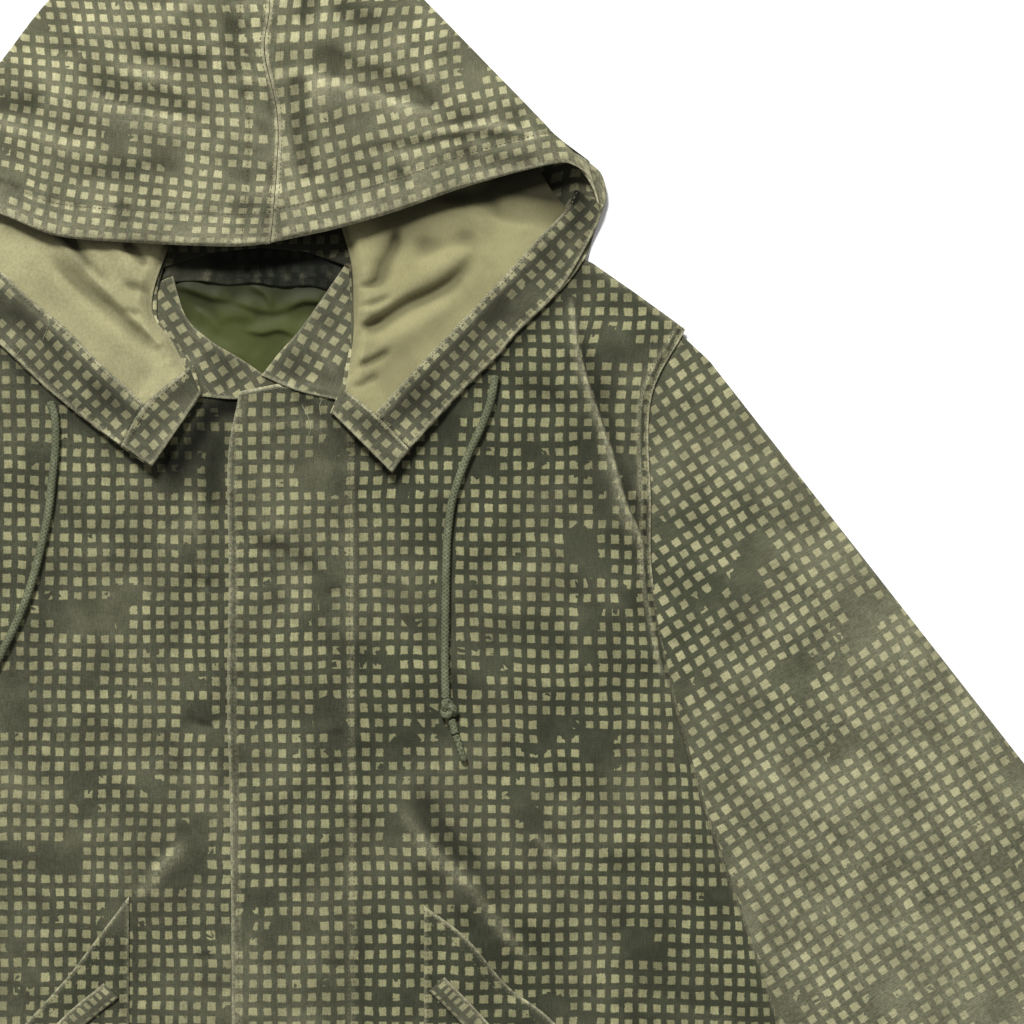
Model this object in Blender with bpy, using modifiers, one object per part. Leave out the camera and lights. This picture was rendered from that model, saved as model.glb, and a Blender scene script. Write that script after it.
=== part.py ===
"""A hooded fishtail parka, laid flat on its back with the hood turned open.

Every cloth piece is a sheet: a grid whose points follow the piece's outline, laid on the pieces
under it, then given its thickness. Tables are in millimetres: Y runs towards the hood, and X grows
from the centre to the wearer's left, or to the wearer's right in the tables of that side. The meshes
are in metres, centred on the garment.
"""

import math

import bmesh
import bpy
import numpy as np
from mathutils import Vector
from mathutils.bvhtree import BVHTree

MM = 0.001
CENTRE = (0.0, -317.0)  # middle of the whole garment in the tables

# Cloth and how it lies
CLOTH = 1.1  # thickness of each piece
GAP = 0.35  # between a piece and what it lies on
PUFF = 1.6  # how far the middle of a front stands off the back
BRIDGING = 5  # rounds of smoothing where cloth spans a step
SIGHT = 500.0  # height that the look-down rays start from
SKIRT = 2.5  # how far a sheet keeps clear of the edge of one under it
CELL_STEPS = 8  # places along a cell's side where it is kept clear of what is below
RAISING = 40  # rounds of lifting a sheet clear of steps below it
LAP = 4.0  # how far one piece goes under the next at a lapped seam

# Body
FRONT_HEM = -850.0
HALF_HEM = 348.0
TAIL = 108.0  # how much lower the fishtail reaches
VENT = 120.0  # height of the slit between the tails
BACK_INSET = 5.0  # the back stops this far inside the fronts' side edge
FRONT_ROWS = 26
FRONT_REACH = (0.45, 0.9)  # part of a front's width over which the shape of its edges takes hold
FLY_WIDTH = 79.0
FLY_SHOW = 1.5  # how far the fly's second layer shows past its top edge

# Sleeves
SLEEVE = 620.0  # along the outer fold, shoulder to cuff
CUFF = 190.0  # across the flat cuff
SLEEVE_SLOPE = math.radians(-52.0)
SLEEVE_SHOULDER = 0.04  # part of the length where the sleeve is still under the body
SLEEVE_OVER = 8  # points across the top of a ring
SLEEVE_UNDER = 5  # and across its underside
SLEEVE_TURNS = (45, 90, 135)  # degrees round each of its folds
WAVE = 0.7  # height of the soft waves on top of a sleeve
WAVE_LOW = -0.4  # how deep they may go
WAVE_DOWN = 9.0  # how fast they turn down the sleeve
WAVE_ACROSS = 3.0  # and across it
WAVE_START = (0.1, 0.4)  # part of the length over which they grow

# Hood
FOLD_RADIUS = 3.2  # of the turned edge round the outside of the hood
FOLD_TURNS = (45, 90, 135)  # degrees round that edge
HOOD_COLUMNS = 12
CROWN_ROWS = 7
CROWN_EDGE = 22.0  # height of the crown's front edge at the centre seam
CORNER_EDGE = 12.0  # and at the side corner
EDGE_RISE = 0.7  # part of that edge over which it rises to the first height
CROWN_FALL = 2.2  # how late the crown falls off towards its fold: 1 would be a straight slope
CORNER_ROLL = 4.0  # how far the rolled corner stands up
CORNER_SPREAD = 18.0
CORNER_MIDDLE = 0.6  # part of the corner's line where it stands highest
HOOD_MIDDLE = (60.0, 130.0)  # a place inside each half

# Drawcords
CORD = 5.0
CORD_SIDES = 2  # bevel resolution, which gives 8 sides
CORD_STEP = 12.0  # between a cord's points
KNOT = (5.0, 6.2, 3.6)  # half sizes of the knot, its length along the cord in the middle
TIP_RADIUS = 2.7
TIP_LENGTH = 18.0

# Armhole seam and side of the body, from the shoulder point down
SIDE = [
    (268.6, 38.1),
    (247.0, -6.0),
    (246.8, -70.0),
    (250.0, -133.0),
    (278.0, -248.0),
    (322.0, -378.0),
    (342.0, -455.0),
    (350.0, -560.0),
    (352.0, -700.0),
    (HALF_HEM, FRONT_HEM),
]

# Top edge of the back from the centre out: back neck, neck point of the shoulder, shoulder point
BACK_TOP = [(0, 96), (28, 97), (56, 103), (80, 118), (112, 113), (150, 104), (190, 90), (228, 67), (264, 40)]
# Lower edge of the back: place from the centre out, and how much of the tail's drop it has
TAIL_EDGE = [(0, 0.96), (10, 0.97), (60, 1.0), (130, 0.93), (210, 0.68), (290, 0.3), (344, 0.0)]
BACK_COLUMNS = [0, 0.03, 0.1, 0.2, 0.32, 0.45, 0.58, 0.7, 0.82, 0.92, 1]
BACK_ROWS = [0, 0.02, 0.05, 0.09, 0.13, 0.17, 0.21, 0.26, 0.31, 0.36, 0.41, 0.47, 0.54, 0.62, 0.72, 0.83, 0.93, 1]

# Columns of a front: a point (x, y) on its top edge, then its x along the hem
FRONT_COLUMNS = {
    "left": [
        (-14.0, -3.2, -16),
        (10.0, 1.5, 14),
        (34.0, 1.5, 44),
        (52.0, -4.0, 72),
        (60.0, 26.0, 96),
        (63.0, 70.0, 118),
        (80.0, 117.0, 140),
        (112.0, 112.5, 168),
        (150.0, 103.5, 196),
        (182.0, 93.0, 226),
        (209.6, 80.5, 256),
        (236.0, 62.0, 290),
        (262.0, 43.0, 336),
        (268.6, 38.1, HALF_HEM),
    ],
    "right": [
        (-36.0, -5.0, -38),
        (-10.0, -5.0, -8),
        (14.0, -4.0, 24),
        (40.0, -4.0, 60),
        (60.0, 30.0, 92),
        (70.0, 74.0, 118),
        (82.0, 116.5, 140),
        (112.0, 112.5, 168),
        (150.0, 103.5, 196),
        (182.0, 93.0, 226),
        (209.6, 80.5, 256),
        (236.0, 62.0, 290),
        (262.0, 43.0, 336),
        (268.6, 38.1, HALF_HEM),
    ],
}
# Centre-front edge of each front. The left one is the fly edge, which lies on top.
FLY_EDGE = {
    "left": [(-14.0, -3.2), (-21.0, -45.0), (-20.5, -120.0), (-21.5, -200.0), (-19.0, -330.0), (-16.0, -850.0)],
    "right": [(-36.0, -5.0), (-38.0, -400.0), (-38.0, -850.0)],
}

# Sleeve: its hidden armhole end, then its inner fold towards the cuff
SLEEVE_HEAD = [
    (258.0, 42.5),
    (238.0, 0.0),
    (235.0, -70.0),
    (234.0, -133.0),
    (220.0, -190.0),
    (194.0, -238.0),
    (165.0, -264.0),
]
SLEEVE_INNER = [(165.0, -264.0), (215.0, -316.0), (275.0, -378.0), (337.0, -438.0), (415.0, -502.0)]
SLEEVE_HEIGHTS = [(0.0, 3.6), (0.12, 4.2), (0.4, 5.6), (0.75, 5.8), (1.0, 5.4)]  # part of its length, height
SLEEVE_STATIONS = [0, 0.04, 0.1, 0.17, 0.25, 0.33, 0.41, 0.49, 0.57, 0.65, 0.73, 0.81, 0.91, 1]

# Largest folds of the fronts: x, y of both ends, spread, height
FOLDS = {
    "left": [
        (199, 51, 215, -10, 10, 2.2),
        (215, -10, 240, -112, 9, 2.0),
        (84, -257, 131, -314, 9, 2.0),
        (131, -314, 180, -371, 9, 1.8),
        (262, -190, 300, -330, 12, 1.8),
        (120, -470, 200, -640, 20, 2.0),
        (270, -520, 230, -760, 22, 2.0),
        (60, -600, 90, -820, 20, 1.8),
    ],
    "right": [
        (46, -288, 84, -321, 9, 2.0),
        (40, -57, 32, -140, 9, 1.8),
        (205, 40, 228, -90, 10, 2.0),
        (262, -190, 300, -330, 12, 1.8),
        (110, -150, 150, -330, 16, 1.5),
        (130, -480, 190, -660, 20, 2.0),
        (280, -540, 240, -780, 22, 2.0),
        (70, -620, 84, -820, 20, 1.8),
    ],
}

# Hood lines of each side. The crown is the part that lies on top, outside up.
CROWN_FRONT = {
    "left": [(200, 141.5), (189, 142), (164, 137), (126, 126), (88, 112.5), (49, 101), (7, 92)],
    "right": [(227, 119), (208, 119), (166.5, 111), (128, 96.5), (77.5, 92), (20, 89.5), (-6.4, 91.4)],
}
OUTER_FOLD = {
    "left": [(207, 146), (186, 162), (163, 186), (140, 209.5), (103, 247.5), (60, 290), (22, 317), (-14.5, 324)],
    "right": [(232, 126), (212, 152), (188, 182), (164.5, 209.5), (134.6, 247.6), (84, 298), (46, 320), (15.6, 324)],
}
CORNER = {
    "left": [(207, 146), (216, 134), (218, 120), (213, 105)],
    "right": [(232, 126), (238, 112), (236, 96), (228, 84)],
}
STRIP_EDGE = {
    "left": [(213, 105), (204, 82), (190, 63.5), (162, 35.5), (150, 21), (127, -2), (94.6, -37.5), (83.2, -53.3)],
    "right": [(228, 84), (214, 68), (196, 52), (166.4, 28.6), (137.2, 1.3), (113, -18.4), (89.5, -35.6), (69.2, -49.5)],
}
CENTRE_SEAM = {
    "left": [(7, 92), (11, 140), (11, 175), (3, 215), (6, 248), (-4, 288), (-14.5, 324)],
    "right": [(-6.4, 91.4), (-10.4, 140), (-10.4, 175), (-2.4, 215), (-5.4, 248), (4.6, 288), (15.6, 324)],
}
# The lower part's inner edge: down the centre seam, along the neck seam, then the end band to its tip
UNDER_EDGE = {
    "left": [
        (-14.5, 324), (-10, 270), (-6, 215), (-2, 160), (0, 118), (0, 92), (29, 89), (55.5, 79), (57, 51),
        (56.5, 30), (51, 3), (43.8, -14), (63, -33), (83.2, -53.3),
    ],
    "right": [
        (15.6, 324), (10.6, 270), (6.6, 215), (2.6, 160), (0.6, 118), (0.6, 92), (30, 89), (62, 79), (66, 63),
        (66, 46), (54, 30), (42, 14), (37.5, -3), (69.2, -49.5),
    ],
}
# Printed facing along the hood's front edge: its inner and outer edges
FACING_INNER = {
    "left": [(72.4, -15.2), (98, 13), (124.5, 40.6), (153.7, 71.1), (176, 96), (192, 113)],
    "right": [(73, -9.5), (101.6, 17.1), (125.7, 41.3), (145.4, 57.2), (166.4, 77), (196, 100)],
}
FACING_OUTER = {
    "left": [(94.2, -37), (126.3, -1.6), (149.5, 21.4), (161.5, 36), (189.4, 64), (211, 101)],
    "right": [(89, -35), (112.6, -17.8), (136.8, 1.9), (166, 29.2), (195.5, 52.6), (225, 82)],
}
BAND_TOP = {
    "left": [(53.3, -0.3), (72.4, -15.6), (93.4, -37.2)],
    "right": [(45.2, 14), (72.6, -9.8), (88.2, -35)],
}
BAND_BOTTOM = {
    "left": [(44.4, -14), (63.2, -32.6), (82.8, -52.4)],
    "right": [(38.2, -3), (53, -25.5), (68.8, -48.4)],
}
# Lining: its edge along the neck seam, and the points its outer edge goes on to under the crown
LINING_NECK = {
    "left": [(53, -4), (58, 30), (58.5, 51), (57, 80), (48, 112), (40, 150), (36, 190)],
    "right": [(46, 10), (56.5, 31), (67.6, 46), (67.6, 64), (56, 100), (46, 145), (40, 185)],
}
LINING_INSIDE = {"left": [(184, 126), (166, 158)], "right": [(197, 122), (170, 160)]}
# Inside front neck: the seam with the hood, and the edge of the neck opening
NECK_SEAM = {
    "left": [(59, 80), (60.5, 51), (60, 30), (55, 8), (50, -7)],
    "right": [(70, 66), (70, 46), (60, 32), (48, 14), (42, -4)],
}
NECK_EDGE = {
    "left": [(53, 79), (38, 57), (24, 37.5), (11, 23), (0, 9)],
    "right": [(56, 72), (47.6, 46), (32, 31), (14, 20), (-1, 10)],
}
NECK_BOTTOM = {"left": [(0, 9), (24, -1), (50, -7)], "right": [(-1, 10), (14, -3), (42, -4)]}

# Ridges and hollows, in the columns of FOLDS
CROWN_FOLDS = {
    "left": [(20, 199, 75, 190, 10, 3.0), (75, 190, 151, 163, 11, 3.0), (24, 190, 30, 140, 9, -3.0)],
    "right": [(97, 184, 30, 165, 12, 3.0), (170, 170, 110, 150, 12, 2.2)],
}
LINING_FOLDS = {
    "left": [(62, 32, 116, 62, 9, 1.4), (70, 50, 150, 96, 10, 1.2)],
    "right": [(128, 98, 90, 50, 10, 2.4), (90, 50, 52, 22, 8, 2.0)],
}

# Inside the back neck: the facing, then the nylon lining below it with its folds
BACK_NECK_TOP = [(-62, 88), (-30, 93), (0, 94.5), (30, 93), (62, 88)]
BACK_NECK_BOTTOM = [(-60, 70), (-30, 69), (0, 69), (30, 69), (60, 70)]
NYLON_TOP = [(-68, 76), (68, 76)]
NYLON_BOTTOM = [(-56, -32), (56, -32)]
NYLON_FOLDS = [(-30, 60, -14, 10, 8, 1.0), (12, 62, 22, 20, 8, 1.0)]

# Pockets: slanted top edge from its apex outward, and the welt of the mouth
POCKET_TOP = {
    "left": [(103, -327), (129.5, -347), (156, -378), (182, -398), (232, -448)],
    "right": [(84, -321), (106, -350), (128, -378), (168, -420), (222, -462)],
}
POCKET_BOTTOM = -640.0
POCKET_FLARE = 20.0  # how much wider the patch is at its lower outer corner
WELT_LINE = {"left": [(116, -372), (142, -399), (196, -462)], "right": [(100, -376), (131, -403), (188, -468)]}
WELT_WIDTH = 13.0

# Drawcords: free length down to the knot, the short end after it, and where the tip points
CORD_ROUTE = {
    "left": [
        (148.2, 9.0), (145.6, -6), (140, -22), (132.5, -38), (126, -54), (121, -70), (118.3, -88),
        (117.2, -106), (116.8, -128), (116.5, -150), (116.3, -172), (116.8, -196),
    ],
    "right": [
        (133.8, -7.5), (130.6, -18), (130.2, -36), (132.2, -56), (134.5, -76), (138.5, -96), (144, -118),
        (150, -136), (157, -152), (164, -166), (172, -182), (180, -199),
    ],
}
CORD_TAIL = {"left": [(120.2, -208.4), (121.6, -213), (122.8, -218)], "right": [(186.6, -210.0), (188.8, -214), (191, -218.6)]}
TIP_HEADING = {"left": (6.4, -19.0), "right": (8.6, -18.0)}

# Finishes: red, green, blue, roughness
FINISHES = {
    "print": (0.115, 0.12, 0.08, 0.9),
    "lining": (0.36, 0.33, 0.2, 0.9),
    "nylon": (0.09, 0.1, 0.035, 0.55),
    "cord": (0.12, 0.135, 0.08, 0.85),
    "tip": (0.1, 0.11, 0.07, 0.5),
}


def clear_scene():
    for obj in list(bpy.data.objects):
        bpy.data.objects.remove(obj, do_unlink=True)


def make_collection(name):
    collection = bpy.data.collections.new(name)
    bpy.context.scene.collection.children.link(collection)
    return collection


def finish(name, kind):
    """A material of its own for each piece."""
    red, green, blue, roughness = FINISHES[kind]
    material = bpy.data.materials.new(name)
    material.use_nodes = True
    shader = material.node_tree.nodes["Principled BSDF"]
    shader.inputs["Base Color"].default_value = (red, green, blue, 1.0)
    shader.inputs["Roughness"].default_value = roughness
    shader.inputs["Metallic"].default_value = 0.0
    return material


# Lines and patches


def smooth_line(points):
    """A smooth line through the points, as a function of 0 to 1 in even steps from point to point."""
    knots = np.array(points, float)
    slopes = np.gradient(knots, axis=0)
    spans = len(knots) - 1

    def at(t):
        place = min(max(t, 0.0), 1.0) * spans
        i = min(int(place), spans - 1)
        f = place - i
        start = (1 + 2 * f) * (1 - f) ** 2 * knots[i] + f * (1 - f) ** 2 * slopes[i]
        end = f * f * (3 - 2 * f) * knots[i + 1] + f * f * (f - 1) * slopes[i + 1]
        return start + end

    return at


def cornered_line(points):
    """Straight runs between the points, as a function of 0 to 1 in even steps from point to point."""
    knots = np.array(points, float)
    steps = np.linspace(0, 1, len(knots))
    return lambda t: np.array([np.interp(t, steps, knots[:, 0]), np.interp(t, steps, knots[:, 1])])


def falling_line(points):
    """A smooth line that only falls, as a function of 0 to 1 in even steps of height."""
    line = smooth_line(points)
    dense = np.array([line(t) for t in np.linspace(0, 1, 240)])
    drop = np.maximum.accumulate(dense[0, 1] - dense[:, 1])
    return lambda t: np.array([np.interp(t * drop[-1], drop, dense[:, 0]), dense[0, 1] - t * drop[-1]])


def patch(top, bottom, left, right, reach=(0.0, 1.0), steep=False):
    """The sheet between four lines that meet at its corners, as a function of (across, down).

    The curve of the left and right lines fades across the sheet, over the part given as reach.
    """
    fade = ease if steep else lambda x, low, high: x

    def at(u, v):
        bow_left = left(v) - (1 - v) * top(0) - v * bottom(0)
        bow_right = right(v) - (1 - v) * top(1) - v * bottom(1)
        return (1 - v) * top(u) + v * bottom(u) + fade(1 - u, *reach) * bow_left + fade(u, *reach) * bow_right

    return at


def spread(place, columns, rows):
    """The plan points of a sheet: rows of (x, y)."""
    return np.array([[place(u, v) for u in columns] for v in rows])


def even(count):
    return np.linspace(0, 1, count + 1)


def ease(x, low, high):
    t = np.clip((x - low) / (high - low), 0, 1)
    return t * t * (3 - 2 * t)


def folds(plan, table):
    """Height that a table of folds adds at each plan point."""
    added = np.zeros(plan.shape[:-1])
    for x0, y0, x1, y1, width, height in table:
        start = np.array([x0, y0], float)
        run = np.array([x1, y1], float) - start
        along = np.clip(((plan - start) @ run) / (run @ run), 0, 1)
        away = np.linalg.norm(plan - start - along[..., None] * run, axis=-1)
        added += height * np.exp(-((away / width) ** 2))
    return added


def for_side(points, side):
    """Turns a table's X round for the wearer's right."""
    turned = np.array(points, float)
    if side == "right":
        turned[..., 0] *= -1
    return turned


# Laying one sheet on others


def upward(points):
    """The unit normals of a sheet, on its upper side."""
    normals = np.cross(np.gradient(points, axis=1), np.gradient(points, axis=0))
    normals /= np.linalg.norm(normals, axis=-1, keepdims=True) + 1e-12
    return normals * np.sign(normals[..., 2].mean())


def grid(points):
    """A triangulated grid through rows of points."""
    rows, columns = points.shape[:2]
    mesh = bmesh.new()
    bmesh.ops.create_grid(mesh, x_segments=columns - 1, y_segments=rows - 1, size=1.0)
    mesh.verts.ensure_lookup_table()
    for vert, place in zip(mesh.verts, points.reshape(-1, 3)):
        vert.co = place
    bmesh.ops.triangulate(mesh, faces=mesh.faces[:], quad_method="FIXED")
    return mesh


def with_skirt(points):
    """The sheet with a level rim round it, so that what lies on it stays clear of its edges."""
    wide = np.pad(points, ((1, 1), (1, 1), (0, 0)), mode="edge")
    for edge, inner in ((0, 2), (-1, -3)):
        for turned in (wide, wide.transpose(1, 0, 2)):
            out = turned[edge] - turned[inner]
            out[:, 2] = 0
            turned[edge] += SKIRT * out / (np.linalg.norm(out, axis=-1, keepdims=True) + 1e-9)
    return wide


def upper_side(points):
    """What another sheet can lie on: the top of a sheet given by its underside."""
    mesh = grid(with_skirt(points + CLOTH * upward(points)))
    tree = BVHTree.FromBMesh(mesh)
    mesh.free()
    return tree


def ground(x, y, below):
    """The lowest that a sheet may lie at a place."""
    height = 0.0
    for tree in below:
        hit = tree.ray_cast(Vector((x, y, SIGHT)), Vector((0, 0, -1)))[0]
        if hit is not None:
            height = max(height, hit.z + GAP)
    return height


def corner_weights():
    """For places spread over a cell, its four corners' shares: by area, then by either pair of triangles."""
    by_area, by_triangle = [], []
    for v in even(CELL_STEPS):
        for u in even(CELL_STEPS):
            w = 1 - u
            by_area += [[(1 - v) * w, (1 - v) * u, v * w, v * u]] * 2
            by_triangle.append([1 - max(u, v), max(u - v, 0), max(v - u, 0), min(u, v)])
            by_triangle.append([max(w - v, 0), 1 - max(w, v), min(w, v), max(v - w, 0)])
    return np.array(by_area), np.array(by_triangle)


def cell_corners(values):
    """The four corners of every cell of a grid."""
    return [values[:-1, :-1], values[:-1, 1:], values[1:, :-1], values[1:, 1:]]


def raise_over_steps(plan, height, below):
    """Lifts the corners of each cell just so far that its triangles clear what is below it."""
    by_area, by_triangle = corner_weights()
    places = np.tensordot(by_area, np.array(cell_corners(plan)), 1)
    floor = np.array([[[ground(x, y, below) for x, y in row] for row in cells] for cells in places[::2]])
    floor = np.repeat(floor, 2, axis=0)
    share = by_triangle / (by_triangle**2).sum(axis=1, keepdims=True)
    ceiling = height.copy()
    for corner in cell_corners(ceiling):
        np.maximum(corner, floor.max(axis=0), out=corner)
    for _ in range(RAISING):
        short = floor - np.tensordot(by_triangle, np.array(cell_corners(height)), 1)
        needed = (np.maximum(short, 0)[:, None] * share[:, :, None, None]).max(axis=0)
        lift = np.zeros_like(height)
        for corner, need in zip(cell_corners(lift), needed):
            np.maximum(corner, need, out=corner)
        np.minimum(height + lift, ceiling, out=height)


def lay(plan, below, lift=0.0):
    """A sheet's points: its plan laid on what is below, bridging steps, with its own folds added."""
    least = np.array([[ground(x, y, below) for x, y in row] for row in plan])
    height = least.copy()
    for _ in range(BRIDGING):
        mean = (height[:-2, 1:-1] + height[2:, 1:-1] + height[1:-1, :-2] + height[1:-1, 2:]) / 4
        height[1:-1, 1:-1] = np.maximum(least[1:-1, 1:-1], mean)
    height = np.maximum(height + lift, least)
    raise_over_steps(plan, height, below)
    return np.dstack([plan, height])


# Turning points into pieces


def add_piece(name, mesh, kind, collection):
    for vert in mesh.verts:
        vert.co = Vector((vert.co.x - CENTRE[0], vert.co.y - CENTRE[1], vert.co.z)) * MM
    data = bpy.data.meshes.new(name)
    mesh.to_mesh(data)
    mesh.free()
    data.shade_smooth()
    data.materials.append(finish(name, kind))
    piece = bpy.data.objects.new(name, data)
    collection.objects.link(piece)
    return piece


def give_thickness(piece, offset):
    wall = piece.modifiers.new("Wall", "SOLIDIFY")
    wall.thickness = CLOTH * MM
    wall.offset = offset


def add_sheet(name, points, kind, collection):
    """A cloth piece whose points are its underside. Returns what others can lie on."""
    mesh = grid(points)
    if sum(face.normal.z for face in mesh.faces) < 0:
        bmesh.ops.reverse_faces(mesh, faces=mesh.faces[:])
    give_thickness(add_piece(name, mesh, kind, collection), 1.0)
    return upper_side(points)


def turn_out(mesh, face):
    """Makes all faces agree with one that is known to face up."""
    bmesh.ops.recalc_face_normals(mesh, faces=mesh.faces[:])
    if face.normal.z < 0:
        bmesh.ops.reverse_faces(mesh, faces=mesh.faces[:])


# Sleeves


def sleeve_place(side_line):
    """The flat sleeve, as a function of (down the sleeve, across from its outer fold)."""
    along = np.array([math.cos(SLEEVE_SLOPE), math.sin(SLEEVE_SLOPE)])
    across = np.array([math.sin(SLEEVE_SLOPE), -math.cos(SLEEVE_SLOPE)])
    shoulder = side_line[0]
    cuff_outer = shoulder + SLEEVE * along
    cuff_inner = cuff_outer + CUFF * across
    near_shoulder = shoulder + SLEEVE_SHOULDER * SLEEVE * along
    hidden = cornered_line([SLEEVE_HEAD[0], near_shoulder])
    shown = cornered_line([near_shoulder, cuff_outer])

    def outer_fold(t):
        if t < SLEEVE_SHOULDER:
            return hidden(t / SLEEVE_SHOULDER)
        return shown((t - SLEEVE_SHOULDER) / (1 - SLEEVE_SHOULDER))

    inner_fold = smooth_line(SLEEVE_INNER + [tuple(cuff_inner)])
    return patch(outer_fold, inner_fold, smooth_line(SLEEVE_HEAD), cornered_line([cuff_outer, cuff_inner]))


def sleeve_ring(place, s, tall):
    """One ring round the flat tube: over its top, round the inner fold, back underneath, round the outer one."""
    wide = float(np.linalg.norm(place(s, 1) - place(s, 0)))
    turn = 0.5 * tall / wide
    ring = []
    for c in np.linspace(turn, 1 - turn, SLEEVE_OVER):
        waves = WAVE * math.sin(WAVE_DOWN * s + WAVE_ACROSS * c) * math.sin(math.pi * c) * ease(s, *WAVE_START)
        ring.append((*place(s, c), tall + max(waves, WAVE_LOW)))
    for angle in SLEEVE_TURNS:
        out = turn * math.sin(math.radians(angle))
        ring.append((*place(s, 1 - turn + out), 0.5 * tall * (1 + math.cos(math.radians(angle)))))
    for c in np.linspace(1 - turn, turn, SLEEVE_UNDER):
        ring.append((*place(s, c), 0.0))
    for angle in reversed(SLEEVE_TURNS):
        out = turn * math.sin(math.radians(angle))
        ring.append((*place(s, turn - out), 0.5 * tall * (1 + math.cos(math.radians(angle)))))
    return ring + ring[:1]


def add_sleeve(name, side, collection):
    place = sleeve_place(np.array(SIDE))
    stations, heights = zip(*SLEEVE_HEIGHTS)
    rings = [sleeve_ring(place, s, float(np.interp(s, stations, heights))) for s in SLEEVE_STATIONS]
    mesh = grid(for_side(rings, side))
    bmesh.ops.remove_doubles(mesh, verts=mesh.verts[:], dist=0.001)
    turn_out(mesh, max(mesh.faces, key=lambda face: face.calc_center_median().z))
    tree = BVHTree.FromBMesh(mesh)
    give_thickness(add_piece(name, mesh, "print", collection), -1.0)
    return tree


# Body


def back_points(below):
    """The back, from one side to the other, with its tails and the slit between them."""
    columns = [-u for u in BACK_COLUMNS[:0:-1]] + BACK_COLUMNS
    side = falling_line([(x - BACK_INSET, y) for x, y in SIDE])
    top_x, top_y = np.array(BACK_TOP, float).T
    tail_x, tail_part = np.array(TAIL_EDGE, float).T
    plan = np.zeros((len(BACK_ROWS), len(columns), 2))
    for i, v in enumerate(BACK_ROWS):
        for j, u in enumerate(columns):
            top = np.interp(abs(u) * top_x[-1], top_x, top_y)
            low = FRONT_HEM - TAIL * np.interp(abs(u) * tail_x[-1], tail_x, tail_part)
            if u == 0:
                low += VENT
            plan[i, j] = (u * side(v)[0], top + (low - top) * v)
    return lay(plan, below)


def front_points(side, below):
    """A front from its centre-front edge to its side."""
    columns = FRONT_COLUMNS[side]
    top = cornered_line([(x, y) for x, y, _ in columns])
    hem = cornered_line([(x, FRONT_HEM) for _, _, x in columns])
    across, down = even(len(columns) - 1), even(FRONT_ROWS)
    place = patch(top, hem, falling_line(FLY_EDGE[side]), falling_line(SIDE), FRONT_REACH, steep=True)
    plan = spread(place, across, down)
    flat_edges = np.outer(ease(down, 0, 0.1) * ease(1 - down, 0, 0.06), ease(1 - across, 0, 0.15))
    lift = (PUFF + folds(plan, FOLDS[side])) * flat_edges
    return lay(for_side(plan, side), below, lift)


def fly_points(below):
    """The fly's second layer, under the left front's edge."""
    left = FRONT_COLUMNS["left"]
    top = cornered_line([(x + 1, y + FLY_SHOW) for x, y, _ in left[:4]])
    edge = falling_line([(x + 1.0, y + (FLY_SHOW if i == 0 else 0)) for i, (x, y) in enumerate(FLY_EDGE["left"])])
    inner_x = FLY_EDGE["left"][1][0] + FLY_WIDTH
    inner = cornered_line([top(1), (inner_x, -60.0), (inner_x, FRONT_HEM)])
    hem = cornered_line([edge(1), inner(1)])
    return lay(spread(patch(top, hem, edge, inner), even(4), even(FRONT_ROWS)), below)


def pocket_points(side, below):
    top = smooth_line(POCKET_TOP[side])
    apex, reach = top(0), top(1)
    low_inner = np.array([apex[0], POCKET_BOTTOM])
    low_outer = np.array([reach[0] + POCKET_FLARE, POCKET_BOTTOM])
    place = patch(
        top,
        cornered_line([low_inner, low_outer]),
        cornered_line([apex, low_inner]),
        cornered_line([reach, low_outer]),
    )
    return lay(for_side(spread(place, even(6), even(8)), side), below)


def welt_points(side, below):
    """The folded strip along the mouth of a pocket."""
    line = smooth_line(WELT_LINE[side])
    run = line(1) - line(0)
    across = WELT_WIDTH * np.array([run[1], -run[0]]) / np.linalg.norm(run)
    plan = spread(lambda u, v: line(v) + u * across, even(1), even(7))
    return lay(for_side(plan, side), below)


def neck_facing_points(side, below):
    edge, seam = smooth_line(NECK_EDGE[side]), smooth_line(NECK_SEAM[side])
    place = patch(cornered_line([edge(0), seam(0)]), smooth_line(NECK_BOTTOM[side]), edge, seam)
    return lay(for_side(spread(place, even(4), even(7)), side), below)


def back_neck_points(below):
    """The facing inside the back neck."""
    top, bottom = smooth_line(BACK_NECK_TOP), smooth_line(BACK_NECK_BOTTOM)
    place = patch(top, bottom, cornered_line([top(0), bottom(0)]), cornered_line([top(1), bottom(1)]))
    return lay(spread(place, even(8), even(2)), below)


def back_lining_points(below):
    """The nylon lining where the neck opening shows it."""
    top, bottom = cornered_line(NYLON_TOP), cornered_line(NYLON_BOTTOM)
    place = patch(top, bottom, cornered_line([top(0), bottom(0)]), cornered_line([top(1), bottom(1)]))
    plan = spread(place, even(6), even(6))
    return lay(plan, below, folds(plan, NYLON_FOLDS))


# Hood


def under_points(side, below):
    """The lower part of a hood half, lining side up, from its outer fold to its free edge."""
    rows = even(len(UNDER_EDGE[side]) - 1)
    place = patch(
        smooth_line(OUTER_FOLD[side]),
        smooth_line(STRIP_EDGE[side]),
        smooth_line(CORNER[side]),
        cornered_line(UNDER_EDGE[side]),
    )
    plan = spread(place, even(HOOD_COLUMNS), rows)
    plan += FOLD_RADIUS * np.multiply.outer(1 - np.array(rows), inward_of_fold(side))
    middle = smooth_line(CORNER[side])(CORNER_MIDDLE)
    roll = CORNER_ROLL * np.exp(-((np.linalg.norm(plan - middle, axis=-1) / CORNER_SPREAD) ** 2))
    roll[0] = 0
    return lay(for_side(plan, side), below, roll)


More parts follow.
